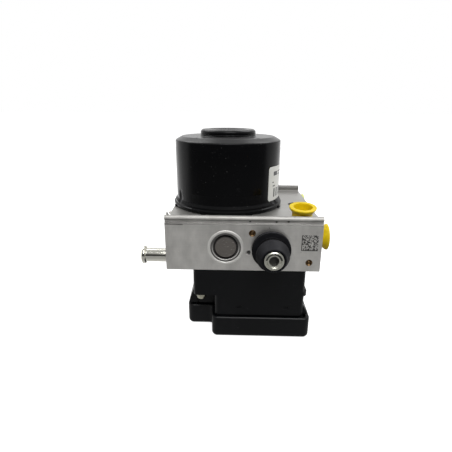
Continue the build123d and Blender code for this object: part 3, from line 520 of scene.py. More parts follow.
@dataclass(frozen=True)
class StakedClosure(PlatedMetal):
    """Pump closure: oxide-brown disc in a paler turned ring; painted shade on the ring and round the disc."""

    line_z: float = 66.0
    disc_radius: float = 7.6
    ring: Colour = (0.74, 0.725, 0.70)
    # Colour of the dark mottling, and of the painted shade on the ring and in the groove.
    soot_and_shade: Colour = (0.012, 0.011, 0.010)
    # Painted shade spans: groove round the disc, its widening below over the recess wall, a band on the ring.
    groove_shade: Span = (6.75, 7.75)
    groove_shade_spread: float = 0.7
    shade_ring: Span = (8.9, 9.95)

    def shade(self, graph: Graph) -> Sockets:
        """Builds the surface.

        Args:
            graph: the graph of the material.

        Returns:
            The surface shader's inputs.
        """
        x, _, z = graph.axes()
        reach = apart(x, z, (0.0, self.line_z))
        outer = reach > self.disc_radius
        upper = ((z - self.line_z) * 0.16 + 0.5).held()
        lower = 1.0 - upper
        cloud = graph.noise(3.2, detail=5.0, rough=0.65)
        fine = graph.noise(0.5, detail=2.0)
        turning = (reach * 9.0 + fine * 1.5).ripple()
        disc = graph.tinted(self.colour, 0.72 + cloud * 0.5)
        colour = graph.mix(outer, disc, graph.tinted(self.ring, 0.8 + turning * 0.25))
        colour = graph.mix(cloud.past(0.56, 3.5) * 0.35, colour, self.soot_and_shade)
        # Painted shade over the ring's upper part and as a band on its lower part.
        shaded = upper * (reach < self.shade_ring[1]) * 0.78 + lower * reach.within(*self.shade_ring) * 0.80
        colour = graph.mix(shaded * outer, colour, self.soot_and_shade)
        cut = graph.scratches(1.0, (0.5, 1.0, 1.6), 0.68, (5.0, 0.5))
        colour = graph.mix(cut * 0.3, colour, (0.55, 0.54, 0.50))
        # Painted shade in the groove round the disc, widened below over the recess wall.
        groove_shade = reach.within(self.groove_shade[0], lower * self.groove_shade_spread + self.groove_shade[1])
        colour = graph.mix(groove_shade * 0.94, colour, self.soot_and_shade)
        rough = (self.roughness - outer * (upper * 0.34 - 0.20) + (cloud - 0.5) * 0.2 + groove_shade * 0.5).held()
        return dict(Base_Color=colour, Metallic=self.metallic - groove_shade * 0.8, Roughness=rough,
                    Normal=graph.bump(turning * outer + fine * 0.4, 0.015))


@dataclass(frozen=True)
class SocketBolt(PlatedMetal):
    """Plated bolt head: painted shade in its socket and on the upper dish, and a bright rim."""

    line: Span = (29.0, 66.0)
    socket_radius: float = 3.3
    dish: Span = (3.75, 5.05)
    dish_above: float = 0.6
    # Colour of the painted shade in the socket and on the dish.
    shade_tone: Colour = (0.022, 0.022, 0.020)

    def shade(self, graph: Graph) -> Sockets:
        """Builds the surface.

        Args:
            graph: the graph of the material.

        Returns:
            The surface shader's inputs.
        """
        x, _, z = graph.axes()
        reach = apart(x, z, self.line)
        cloud = graph.noise(1.6, detail=4.0)
        # Painted shade in the socket and on the upper part of the dish.
        socket_shade = reach + cloud * 0.5 < self.socket_radius
        shaded = reach.within(*self.dish) * (z > self.line[1] + self.dish_above)
        dark = (socket_shade * 0.9 + shaded * 0.95).held()
        colour = graph.mix(dark, graph.tinted(self.colour, 0.85 + cloud * 0.3), self.shade_tone)
        rough = (self.roughness + (cloud - 0.5) * 0.2 + dark * 0.3).held()
        return dict(Base_Color=colour, Metallic=self.metallic - dark * 0.6, Roughness=rough,
                    Normal=graph.bump(cloud, 0.015))


@dataclass(frozen=True)
class CoatedCan(Finish):
    """Black coated drawn steel: half gloss, slight ripple, dust, a few fine scratches, painted shade in pits.
    """

    dust: Colour = (0.20, 0.20, 0.20)
    sheen: float = 0.07
    crown_foot: float = 120.0
    recess_radius: float = 13.4
    recess_floor: float = 133.6
    pit_place: Span = (20.4, 24.3)
    pit_radius: float = 1.7
    pit_floor: float = 131.0
    foot_top: float = 95.0
    dull_half: float = 24.0

    def shade(self, graph: Graph) -> Sockets:
        """Builds the surface.

        Args:
            graph: the graph of the material.

        Returns:
            The surface shader's inputs.
        """
        _, _, up = graph.sides()
        x, y, z = graph.axes()
        ripple = graph.noise(2.6, (1.0, 1.0, 0.35), detail=2.0)
        skin = graph.noise(0.35, detail=2.0)
        cloud = graph.noise(11.0, detail=5.0, rough=0.62)
        scratch = graph.scratches(0.9, (0.35, 0.35, 3.2), 0.735, (7.0, 0.55))
        dust = graph.specks(3.1, 0.085)
        colour = graph.tinted(self.colour, 0.75 + cloud * 0.5)
        colour = graph.mix(dust * 0.22 + scratch * 0.14, colour, self.dust)
        recess = (apart(x, y) < self.recess_radius) * (z > self.recess_floor)
        # Pits are left out of the top's lightening and coat, so they show darker: painted shade.
        pit = (apart(x.size(), y.size(), self.pit_place) < self.pit_radius) * (z > self.pit_floor)
        crown = (1.0 - pit * 0.9) * (z > self.crown_foot)
        colour = graph.mix((up * crown * 0.10 + recess * 0.75).held(), colour, self.dust)
        dull = (z < self.foot_top) * (y < 0.0) * (x.size() < self.dull_half)
        rough = self.roughness + (cloud - 0.5) * 0.20 + up * 0.16 + dust * 0.3 + scratch * 0.15 + dull * 0.35
        return dict(Base_Color=colour, Roughness=rough.held(), Specular_IOR_Level=self.sheen,
                    Coat_Weight=up.past(0.5, 2.0) * crown * 0.5, Coat_Roughness=0.30,
                    Normal=graph.bump(skin, 0.006, graph.bump(ripple, 0.025)))


@dataclass(frozen=True)
class MouldedPlastic(Finish):
    """Filled black plastic with a spark-eroded texture and pale dust in it."""

    texture_mm: float = 0.45
    relief_mm: float = 0.02
    sheen: float = 0.3
    dust: Colour = (0.16, 0.165, 0.17)

    def shade(self, graph: Graph) -> Sockets:
        """Builds the surface.

        Args:
            graph: the graph of the material.

        Returns:
            The surface shader's inputs.
        """
        texture = graph.noise(self.texture_mm, detail=3.0, rough=0.7)
        flow = graph.noise(16.0, (1.0, 1.0, 0.5), detail=4.0)
        scuff = graph.scratches(1.2, (0.2, 1.0, 1.6), 0.70, (9.0, 0.56), detail=2.0)
        dusty = scuff * 0.12 + graph.specks(4.5, 0.05) * 0.6 + flow.past(0.6, 2.5) * 0.10
        colour = graph.mix(dusty, graph.tinted(self.colour, 0.8 + flow * 0.4), self.dust)
        rough = (self.roughness + (flow - 0.5) * 0.22 + (texture - 0.5) * 0.12 + scuff * 0.1).held()
        return dict(Base_Color=colour, Roughness=rough, Specular_IOR_Level=self.sheen,
                    Normal=graph.bump(texture, self.relief_mm))


@dataclass(frozen=True)
class SoftPlastic(Finish):
    """Soft moulded plastic that lets a little light through."""

    deep: Colour = (0.62, 0.42, 0.01)
    glow: float = 0.18
    light_reach: Point = (0.004, 0.003, 0.0006)

    def shade(self, graph: Graph) -> Sockets:
        """Builds the surface.

        Args:
            graph: the graph of the material.

        Returns:
            The surface shader's inputs.
        """
        cloud = graph.noise(5.0, detail=4.0)
        fine = graph.noise(0.7, detail=2.0)
        colour = graph.mix(cloud.past(0.4, 1.6), self.colour, self.deep)
        rough = (self.roughness + (cloud - 0.5) * 0.2).held()
        return dict(Base_Color=colour, Roughness=rough, Specular_IOR_Level=0.25, Subsurface_Weight=self.glow,
                    Subsurface_Radius=self.light_reach, Subsurface_Scale=0.8, Normal=graph.bump(fine, 0.008))


@dataclass(frozen=True)
class MouldedRubber(Finish):
    """Black rubber: matt, slightly dusty, fine leathery skin; painted light on top and painted shade on its
    neck.
    """

    # Colour of the rubber's blooming, also used to paint faces that point up lighter.
    bloom_and_top_light: Colour = (0.11, 0.11, 0.115)
    neck: Span = (-65.9, -60.5)

    def shade(self, graph: Graph) -> Sockets:
        """Builds the surface.

        Args:
            graph: the graph of the material.

        Returns:
            The surface shader's inputs.
        """
        skin = graph.noise(0.4, detail=4.0, rough=0.65)
        cloud = graph.noise(4.0, detail=4.0)
        _, y, _ = graph.axes()
        _, _, up = graph.sides()
        neck = y.within(*self.neck)
        # Blooming in patches, and painted light on faces that point up.
        colour = graph.mix((cloud.past(0.46, 2.2) * 0.4 + up * 0.55).held(), self.colour, self.bloom_and_top_light)
        # Painted shade on the neck between flange and nose.
        colour = graph.tinted(colour, 1.0 - neck * 0.85)
        rough = (self.roughness + (cloud - 0.5) * 0.25 + neck * 0.35).held()
        return dict(Base_Color=colour, Roughness=rough, Specular_IOR_Level=0.14, Normal=graph.bump(skin, 0.02))


@dataclass(frozen=True)
class Lacquered(Finish):
    """Printed board: lacquer over fine copper tracks."""

    track: Colour = (0.03, 0.32, 0.14)
    track_turns: float = 2.6

    def shade(self, graph: Graph) -> Sockets:
        """Builds the surface.

        Args:
            graph: the graph of the material.

        Returns:
            The surface shader's inputs.
        """
        x, y, _ = graph.axes()
        rows = ((y * self.track_turns).wave() > 0.3) * (graph.noise(6.0) > 0.5)
        columns = ((x * self.track_turns).wave() > 0.3) * (graph.noise(7.5) > 0.54)
        tracks = (rows + columns).held()
        return dict(Base_Color=graph.mix(tracks, self.colour, self.track), Roughness=self.roughness,
                    Normal=graph.bump(tracks, 0.03))


@dataclass(frozen=True)
class WoundWire(Finish):
    """Enamelled copper wire, laid side by side."""

    wire_mm: float = 0.9

    def shade(self, graph: Graph) -> Sockets:
        """Builds the surface.

        Args:
            graph: the graph of the material.

        Returns:
            The surface shader's inputs.
        """
        x, y, z = graph.axes()
        lay = ((apart(x, y) + z) * (2 * math.pi / self.wire_mm) + graph.noise(3.0) * 4.0).ripple()
        colour = graph.tinted(self.colour, 0.55 + lay * 0.5)
        return dict(Base_Color=colour, Metallic=0.9, Roughness=self.roughness, Normal=graph.bump(lay, 0.12))


@dataclass(frozen=True)
class StackedSheets(Finish):
    """Laminated core steel, with the edges of its sheets showing."""

    sheet_mm: float = 0.5

    def shade(self, graph: Graph) -> Sockets:
        """Builds the surface.

        Args:
            graph: the graph of the material.

        Returns:
            The surface shader's inputs.
        """
        _, _, z = graph.axes()
        edge = (z * (2 * math.pi / self.sheet_mm)).ripple()
        colour = graph.tinted(self.colour, 0.7 + edge * 0.3 + (graph.noise(3.0) - 0.5) * 0.3)
        return dict(Base_Color=colour, Metallic=0.9, Roughness=self.roughness, Normal=graph.bump(edge, 0.05))


@dataclass(frozen=True)
class PrintedPaper(Finish):
    """Slightly yellowed label stock."""

    aged: Colour = (0.60, 0.58, 0.52)

    def shade(self, graph: Graph) -> Sockets:
        """Builds the surface.

        Args:
            graph: the graph of the material.

        Returns:
            The surface shader's inputs.
        """
        fibre = graph.noise(0.5, detail=3.0)
        colour = graph.mix(graph.noise(8.0, detail=4.0).past(0.5, 2.5) * 0.5, self.colour, self.aged)
        return dict(Base_Color=colour, Roughness=self.roughness, Normal=graph.bump(fibre, 0.008))


BAR = MilledAluminium("bare_block_aluminium", (0.62, 0.608, 0.58), 0.36)
ROLLED = PlatedMetal("rolled_block_metal", (0.68, 0.67, 0.64), 0.56, metallic=0.7, grime_share=0.1)
# The port threads are near black: painted shade inside the open ports.
THREAD = PlatedMetal("shaded_port_thread", (0.030, 0.029, 0.028), 0.5, metallic=0.4, grime_share=0.1)
SWARF = PlatedMetal("bright_cut_aluminium", (0.80, 0.79, 0.77), 0.28, metallic=0.9, grime_share=0.05)
CAN = CoatedCan("black_motor_coat", (0.0022, 0.0023, 0.0027), 0.17)
ZINC = PlatedMetal("pale_zinc_plate", (0.46, 0.45, 0.36), 0.24, grime_share=0.22)
BOLT = SocketBolt("plated_bolt_head", (0.56, 0.56, 0.49), 0.32)
NIPPLE = PlatedMetal("turned_zinc_tube", (0.74, 0.73, 0.66), 0.13, shade_spread=0.08, grime_share=0.12)
STEEL = PlatedMetal("ground_steel", (0.56, 0.56, 0.55), 0.26, Grain.AROUND)
CLOSURE = PlatedMetal("oxide_closure_steel", (0.23, 0.205, 0.185), 0.46, shade_spread=0.30, metallic=0.8)
STAKED = StakedClosure("staked_closure_steel", (0.19, 0.175, 0.16), 0.44, metallic=0.85)
COPPER = PlatedMetal("coppered_plug", (0.17, 0.108, 0.055), 0.36, shade_spread=0.4, grime_share=0.5)
SPRING = PlatedMetal("drawn_spring_wire", (0.33, 0.33, 0.34), 0.30)
BRASS = PlatedMetal("gilded_contact", (0.78, 0.60, 0.26), 0.25)
YELLOW = SoftPlastic("yellow_cap_plastic", (0.62, 0.46, 0.004), 0.42, (0.50, 0.35, 0.003))
# A paler, greener copy of the cap plastic for the rear side cap: the same plastic, with painted light.
LIT_CAP_YELLOW = SoftPlastic("lit_cap_plastic", (0.56, 0.58, 0.22), 0.40, (0.46, 0.50, 0.16))
RUBBER = MouldedRubber("bush_rubber", (0.0032, 0.0033, 0.0046), 0.58, (0.020, 0.020, 0.023))
SEAL = MouldedRubber("seal_rubber", (0.030, 0.045, 0.034), 0.55, (0.06, 0.08, 0.07))
UNIT = MouldedPlastic("black_unit_plastic", (0.0014, 0.0017, 0.0022), 0.38, sheen=0.2,
                      dust=(0.05, 0.053, 0.058))
CARRIER = MouldedPlastic("lead_carrier_plastic", (0.34, 0.31, 0.24), 0.5, dust=(0.5, 0.48, 0.42))
YOKE = MouldedPlastic("coil_overmould", (0.05, 0.028, 0.016), 0.45)
CARBON = MouldedPlastic("pressed_carbon", (0.012, 0.012, 0.012), 0.6)
FERRITE = MouldedPlastic("sintered_ferrite", (0.035, 0.035, 0.038), 0.6)
BOARD = Lacquered("board_lacquer", (0.012, 0.15, 0.06), 0.3)
WINDING = WoundWire("enamelled_copper", (0.62, 0.22, 0.08), 0.35)
CORE = StackedSheets("laminated_core", (0.30, 0.29, 0.28), 0.4)
LABEL = PrintedPaper("white_label", (0.56, 0.56, 0.53), 0.38)
INK = Finish("label_ink", (0.015, 0.015, 0.016), 0.45)
ETCH = PlatedMetal("etched_mark", (0.060, 0.058, 0.056), 0.60, metallic=0.3, shade_spread=0.7)

NODE_FINISH: dict[str, Finish] = {
    "motor_end_plate": CLOSURE, "magnet_left": FERRITE, "magnet_right": FERRITE, "motor_shaft": STEEL,
    "armature_core": CORE, "armature_windings": WINDING, "commutator": COPPER, "top_bearing": STEEL,
    "lower_bearing": STEEL, "brush_front": CARBON, "brush_rear": CARBON, "motor_screws": ZINC,
    "motor_terminals": CARRIER, "eccentric_needles": STEEL, "eccentric_ring": STEEL, "circuit_board": BOARD,
    "connector_pins": BRASS, "valve_coils": YOKE, "inlet_valve_bodies": STEEL, "outlet_valve_bodies": STEEL,
    "pump_cylinder": STEEL, "pump_piston": STEEL, "pump_spring": SPRING, "accumulator_piston": STEEL,
    "accumulator_spring": SPRING, "inlet_plunger": CORE, "outlet_plunger": CORE, "ecu_gasket": SEAL,
}


# Workbench
def clear_selection() -> None:
    """Leaves edit mode and deselects everything."""
    if bpy.context.object and bpy.context.object.mode != "OBJECT":
        bpy.ops.object.mode_set(mode="OBJECT")
    for item in bpy.context.selected_objects:
        item.select_set(False)


def take(*pieces: Piece) -> None:
    """Selects these pieces alone, with the first one active.

    Args:
        *pieces: the objects.
    """
    clear_selection()
    for piece in pieces:
        piece.select_set(True)
    bpy.context.view_layer.objects.active = pieces[0]


@contextmanager
def editing(piece: Piece, mode: str = "FACE") -> Iterator[None]:
    """Edit mode on a piece, for the length of a with block.

    Args:
        piece: the mesh object.
        mode: VERT, EDGE or FACE.
    """
    take(piece)
    bpy.ops.object.mode_set(mode="EDIT")
    bpy.ops.mesh.select_mode(type=mode)
    try:
        yield
    finally:
        bpy.ops.object.mode_set(mode="OBJECT")


def pick(piece: Piece, kind: str, test: Callable[[Any], bool]) -> None:
    """Selects vertices, edges or faces in edit mode by a test.

    Args:
        piece: the object in edit mode.
        kind: verts, edges or faces.
        test: says which elements.
    """
    bpy.ops.mesh.select_all(action="DESELECT")
    mesh = bmesh.from_edit_mesh(piece.data)
    for item in getattr(mesh, kind):
        if test(item):
            item.select_set(True)
    mesh.select_flush_mode()
    bmesh.update_edit_mesh(piece.data)


def pick_all() -> None:
    """Selects everything in edit mode."""
    bpy.ops.mesh.select_all(action="SELECT")


def weld(reach: float) -> None:
    """Merges all vertices in edit mode that are closer than a reach in metres."""
    pick_all()
    bpy.ops.mesh.remove_doubles(threshold=reach)


def face_outward() -> None:
    """Turns all normals outward in edit mode."""
    pick_all()
    bpy.ops.mesh.normals_make_consistent(inside=False)


def start(name: str, adder: Callable[..., Any], **settings: Any) -> Piece:
    """Adds a primitive.

    Args:
        name: the piece's name.
        adder: a primitive operator.
        **settings: its arguments.

    Returns:
        The new object.
    """
    clear_selection()
    adder(**settings)
    piece = bpy.context.object
    piece.name = name
    return piece


def settle(piece: Piece) -> None:
    """Puts the object's place, turn and scale into its mesh."""
    take(piece)
    bpy.ops.object.transform_apply(location=True, rotation=True, scale=True)


def apply(piece: Piece, kind: str, **settings: Any) -> None:
    """Adds a modifier and applies it.

    Args:
        piece: the object.
        kind: the modifier's type.
        **settings: its properties.
    """
    take(piece)
    modifier = piece.modifiers.new(kind.lower(), kind)
    for key, value in settings.items():
        setattr(modifier, key, value)
    bpy.ops.object.modifier_apply(modifier=modifier.name)


def smooth(piece: Piece, angle: float = 30.0) -> None:
    """Shades smooth, with flat faces kept flat.

    Args:
        piece: the object.
        angle: edges flatter than this are shaded smooth.
    """
    take(piece)
    bpy.ops.object.shade_smooth_by_angle(angle=math.radians(angle))
    apply(piece, "WEIGHTED_NORMAL", keep_sharp=True, weight=90)


def spun(name: str, profile: Sequence[Span], steps: int = 96) -> Piece:
    """Turns a closed profile about Z: a vertex is extruded along it, then spun.

    Args:
        name: the piece's name.
        profile: (radius, height) in millimetres, round the section.
        steps: facets round the axis.

    Returns:
        The turned solid, at the origin.
    """
    piece = start(name, bpy.ops.mesh.primitive_plane_add, size=MM)
    with editing(piece, "VERT"):
        pick_all()
        bpy.ops.mesh.merge(type="CENTER")
        bpy.ops.transform.translate(value=(profile[0][0] * MM, 0, profile[0][1] * MM))
        for here, there in zip(profile, [*profile[1:], profile[0]]):
            move = ((there[0] - here[0]) * MM, 0, (there[1] - here[1]) * MM)
            bpy.ops.mesh.extrude_region_move(TRANSFORM_OT_translate={"value": move})
        weld(1e-7)
        pick_all()
        bpy.ops.mesh.spin(steps=steps, angle=2 * math.pi, center=(0, 0, 0), axis=(0, 0, 1))
        weld(1e-6)
        face_outward()
    return piece


def stand_on(piece: Piece, face: Face, centre: Point) -> None:
    """Turns a piece from Z to a side of the block, and moves it to its place there.

    Args:
        piece: the object, made round Z at the origin.
        face: the side of the block.
        centre: its place on that side, in millimetres.
    """
    turn = Vector((0, 0, 1)).rotation_difference(Vector(face.value)).to_matrix().to_4x4()
    piece.matrix_world = Matrix.Translation(Vector(centre) * MM) @ turn
    settle(piece)


def carry(piece: Piece, finish: Finish, body: str = ROOT, replaces: Sequence[str] = ()) -> None:
    """Gives a finished piece its finish, slot and body.

    Args:
        piece: the object, settled at the origin.
        finish: its finish.
        body: the CAD body that it rides on.
        replaces: CAD nodes that it stands for.
    """
    piece.data.materials.clear()
    piece.data.materials.append(finish.material())
    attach(piece, body)
    if replaces:
        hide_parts(*replaces)
    LOG.info("%s: %d faces, %s", piece.name, len(piece.data.polygons), finish.name)


def body_of(node: str) -> str:
    """The CAD body that holds a node."""
    bodies = frame["record"]["behaviour"]["bodies"]
    return next(body for body, nodes in bodies.items() if node in nodes)


def skin_of(node: str, name: str, finish: Finish, bevel_mm: float = 0.0,
            shaped: Callable[[Piece], None] | None = None) -> None:
    """Makes a welded, smooth-shaded copy of a CAD node that stands for it.

    Args:
        node: the CAD node.
        name: the new piece's name.
        finish: its finish.
        bevel_mm: width of the broken edges, 0 for none.
        shaped: changes the welded copy before it is shaded.
    """
    source = frame["nodes"][node]
    clear_selection()
    piece = source.copy()
    piece.data = source.data.copy()
    piece.parent = None
    piece.matrix_world = Matrix.Identity(4)
    piece.name = name
    for key in [key for key in piece.keys() if key.startswith("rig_")]:
        del piece[key]
    bpy.context.scene.collection.objects.link(piece)
    take(piece)
    bpy.ops.mesh.customdata_custom_splitnormals_clear()
    with editing(piece, "VERT"):
        weld(2e-6)
        if bevel_mm:
            pick_all()
            bpy.ops.mesh.dissolve_limited(angle_limit=math.radians(0.6))
    if shaped:
        shaped(piece)
    if bevel_mm:
        apply(piece, "BEVEL", width=bevel_mm * MM, segments=2, limit_method="ANGLE",
              angle_limit=math.radians(50), harden_normals=False, miter_outer="MITER_ARC",
              use_clamp_overlap=True)
    smooth(piece)
    carry(piece, finish, body=body_of(node), replaces=(node,))


def bearing(face: Any) -> float:
    """Where a face lies round Z, in degrees from the front towards the right."""
    centre = face.calc_center_median()
    return math.degrees(math.atan2(centre.x, -centre.y)) % 360


# Sub-assemblies
@dataclass
class Motor:
    """Pump motor: coated can with its paper label."""

    can_radius: float = 38.3
    can_top: float = 132.0
    shoulder_low: float = 126.5
    shoulder_margin: float = 0.1
    shoulder_radius: float = 33.75
    shoulder_share: float = 0.70
    label_low: float = 89.0
    label_high: float = 113.0
    label_from: float = 48.0
    label_sweep: float = 96.0
    label_round: float = 2.2
    label_gap: float = 0.03
    label_strips: int = 64
    label_thick: float = 0.12
    ink_gap: float = 0.02
    ink_thick: float = 0.02
    ink_steps: int = 360
    print_rows: tuple[Row, ...] = (
        (57.0, 66.0, 106.6, 109.4), (55.0, 58.0, 101.6, 102.4), (56.0, 61.0, 99.0, 99.8),
        (68.0, 84.0, 108.6, 109.4), (68.0, 79.0, 106.6, 107.4), (88.0, 112.0, 107.4, 109.0),
        (88.0, 104.0, 104.8, 105.6), (116.0, 138.0, 108.4, 109.2), (116.0, 132.0, 106.4, 107.2),
        (116.0, 136.0, 104.4, 105.2),
    )
    bars_from: float = 58.0
    bars_to: float = 136.0
    bars_low: float = 91.4
    bars_high: float = 97.6
    bar_widths: tuple[float, ...] = (1.0, 1.0, 2.0, 3.0)
    bar_gaps: tuple[float, ...] = (1.0, 2.0, 2.0, 3.0)
    seed: int = 11

    def patch(self, name: str, row: Row, lift: float) -> Piece:
        """A curved sheet that follows the can's wall.

        Args:
            name: the piece's name.
            row: its two ends, as bearings, and its lower and upper edges, in millimetres.
            lift: distance from the can's wall.

        Returns:
            The sheet.
        """
        turn_from, turn_to, low, high = row
        piece = start(name, bpy.ops.mesh.primitive_cylinder_add, vertices=self.ink_steps,
                      radius=(self.can_radius + lift) * MM, depth=(high - low) * MM, end_fill_type="NOTHING",
                      location=(0, 0, (low + high) / 2 * MM))
        settle(piece)
        with editing(piece):
            pick(piece, "faces", lambda face: not turn_from <= bearing(face) <= turn_to)
            bpy.ops.mesh.delete(type="FACE")
        return piece

    def label(self) -> None:
        """White label: a flat sheet with rounded corners, cut into strips and bent round the right side."""
        radius = (self.can_radius + self.label_gap) * MM
        sweep = math.radians(self.label_sweep)
        length, height = radius * sweep, (self.label_high - self.label_low) * MM
        piece = start("motor_label", bpy.ops.mesh.primitive_plane_add, size=1.0, rotation=(math.pi / 2, 0, 0))
        settle(piece)
        with editing(piece, "VERT"):
            pick_all()
            bpy.ops.transform.resize(value=(length, 1, height))
            bpy.ops.mesh.bevel(offset=self.label_round * MM, segments=8, affect="VERTICES")
            for k in range(1, self.label_strips):
                pick_all()
                across = -length / 2 + length * k / self.label_strips
                bpy.ops.mesh.bisect(plane_co=(across, 0, 0), plane_no=(1, 0, 0))
        apply(piece, "SIMPLE_DEFORM", deform_method="BEND", deform_axis="Z", angle=sweep)
        middle = math.radians(self.label_from) + sweep / 2
        piece.matrix_world = (Matrix.Translation((0, 0, (self.label_low + self.label_high) / 2 * MM))
                              @ Matrix.Rotation(middle, 4, "Z") @ Matrix.Translation((0, -radius, 0)))
        settle(piece)
        apply(piece, "SOLIDIFY", thickness=self.label_thick * MM, offset=1.0)
        smooth(piece)
        carry(piece, LABEL)

    def label_print(self) -> None:
        """Generic bars in place of print: a few lines and a block of upright bars."""
        rows = list(self.print_rows)
        dice = random.Random(self.seed)
        turn = self.bars_from
        while turn < self.bars_to:
            width = dice.choice(self.bar_widths)
            rows.append((turn, turn + width, self.bars_low, self.bars_high))
            turn += width + dice.choice(self.bar_gaps)
        lift = self.label_gap + self.label_thick + self.ink_gap
        take(*[self.patch(f"label_bar_{k}", row, lift) for k, row in enumerate(rows)])
        bpy.ops.object.join()
        piece = bpy.context.object
        piece.name = "label_print"
        apply(piece, "SOLIDIFY", thickness=self.ink_thick * MM, offset=1.0)
        carry(piece, INK)

    def crisp_shoulder(self, piece: Piece) -> None:
        """Flattens the slope round the can's top, so that its lower edge is tighter.

        Args:
            piece: the can's welded copy.
        """
        def sloped(vert: Any) -> bool:
            """Whether a vertex is on the slope."""
            outside = math.hypot(vert.co.x, vert.co.y) / MM > self.shoulder_radius
            return outside and self.shoulder_low < vert.co.z / MM < self.can_top - self.shoulder_margin

        with editing(piece, "VERT"):
            pick(piece, "verts", sloped)
            bpy.ops.transform.resize(value=(1, 1, self.shoulder_share),
                                     center_override=(0, 0, self.can_top * MM))

    def build(self) -> None:
        """Makes the can's skin and its label."""
        skin_of("motor_can", "can_skin", CAN, shaped=self.crisp_shoulder)
        self.label()
        self.label_print()


@dataclass
class Block:
    """Valve block with its marks, swarf and port threads."""

    face_y: float = -55.2
    code_left: float = 48.2
    code_low: float = 64.6
    code_size: float = 10.6
    code_cells: int = 18
    code_share: float = 0.5
    code_seed: int = 5
    etch_lift: float = 0.015
    etch_thick: float = 0.01
    thread_radius: float = 4.56
    thread_pitch: float = 1.0
    thread_length: float = 9.0
    thread_start: float = 1.6
    thread_steps: int = 40
    crest_radius: float = 0.42
    crest_sink: float = 0.16
    crest_squash: float = 0.6
    ports: tuple[tuple[Point, Face], ...] = (
        ((51.5, -6.2, 82.5), Face.TOP), ((61.3, -16.7, 68.6), Face.RIGHT), ((61.3, 8.8, 72.0), Face.RIGHT),
    )
    curl_place: Point = (-37.1, -49.6, 87.0)
    curl_radius: float = 1.45
    curl_length: float = 3.4
    curl_width: float = 1.1
    curl_thick: float = 0.14
    curl_sweep: float = 600.0
    curl_tilt: float = 78.0
    curl_steps: int = 44

    def square_code(self) -> None:
        """A square field of generic dark cells, etched on the front face."""
        dice = random.Random(self.code_seed)
        count, cell, half = self.code_cells, self.code_size / self.code_cells, self.code_size / 2
        place = ((self.code_left + half) * MM, (self.face_y - self.etch_lift) * MM, (self.code_low + half) * MM)
        piece = start("code_cells", bpy.ops.mesh.primitive_grid_add, x_subdivisions=count,
                      y_subdivisions=count, size=self.code_size * MM, rotation=(math.pi / 2, 0, 0),
                      location=place)
        settle(piece)
        dark = {(column, row): column == 0 or row == 0 or dice.random() < self.code_share
                for column in range(count) for row in range(count)}

        def bare(face: Any) -> bool:
            """Whether a cell stays bare metal."""
            x, _, z = face.calc_center_median() / MM
            return not dark[int((x - self.code_left) / cell), int((z - self.code_low) / cell)]

        with editing(piece):
            pick(piece, "faces", bare)
            bpy.ops.mesh.delete(type="FACE")
        apply(piece, "SOLIDIFY", thickness=self.etch_thick * MM, offset=0.0)
        carry(piece, ETCH)

    def thread(self, name: str, mouth: Point, face: Face) -> None:
        """Crests of a thread inside an open port: a small wedge, screwed round the port's axis.

        Args:
            name: the piece's name.
            mouth: centre of the port's mouth, in millimetres.
            face: the side of the block that the port is in.
        """
        turns = int(self.thread_length / self.thread_pitch)
        steps = self.thread_steps * turns
        crest, foot = self.thread_radius - self.crest_sink, self.thread_start + self.thread_length
        piece = start(name, bpy.ops.mesh.primitive_circle_add, vertices=3, radius=self.crest_radius * MM,
                      fill_type="NOTHING", rotation=(math.pi / 2, 0, 0), location=(crest * MM, 0, -foot * MM))
        settle(piece)
        with editing(piece, "VERT"):
            pick_all()
            bpy.ops.transform.resize(value=(self.crest_squash, 1, 1),
                                     center_override=(self.thread_radius * MM, 0, 0))
        apply(piece, "SCREW", axis="Z", angle=2 * math.pi * turns, screw_offset=self.thread_length * MM,
              steps=steps, render_steps=steps, use_smooth_shade=True, use_merge_vertices=False)
        stand_on(piece, face, mouth)
        with editing(piece, "EDGE"):
            pick(piece, "edges", lambda edge: edge.is_boundary)
            bpy.ops.mesh.edge_face_add()
            face_outward()
        smooth(piece, 40)
        carry(piece, THREAD)

    def swarf(self) -> None:
        """A bright curl of swarf that hangs behind the left end of the front lip."""
        piece = start("swarf_curl", bpy.ops.mesh.primitive_plane_add, size=self.curl_width * MM,
                      rotation=(0, math.pi / 2, 0), location=(self.curl_radius * MM, 0, 0))
        settle(piece)
        with editing(piece, "VERT"):
            pick(piece, "verts", lambda vert: vert.co.y > 0)
            bpy.ops.mesh.delete(type="VERT")
        apply(piece, "SCREW", axis="Z", angle=math.radians(self.curl_sweep),
              screw_offset=self.curl_length * MM, steps=self.curl_steps, render_steps=self.curl_steps)
        tilt = Matrix.Rotation(math.radians(self.curl_tilt), 4, "Y")
        piece.matrix_world = (Matrix.Translation(Vector(self.curl_place) * MM) @ tilt
                              @ Matrix.Translation((0, 0, -self.curl_length / 2 * MM)))
        settle(piece)
        apply(piece, "SOLIDIFY", thickness=self.curl_thick * MM, offset=0.0)
        smooth(piece, 60)
        carry(piece, SWARF)

    def build(self) -> None:
        """Makes the block's skin and what is on it."""
        skin_of("valve_block", "block_skin", BAR, bevel_mm=0.22)
        self.square_code()
        for k, (mouth, face) in enumerate(self.ports):
            self.thread(f"port_thread_{k + 1}", mouth, face)
        self.swarf()


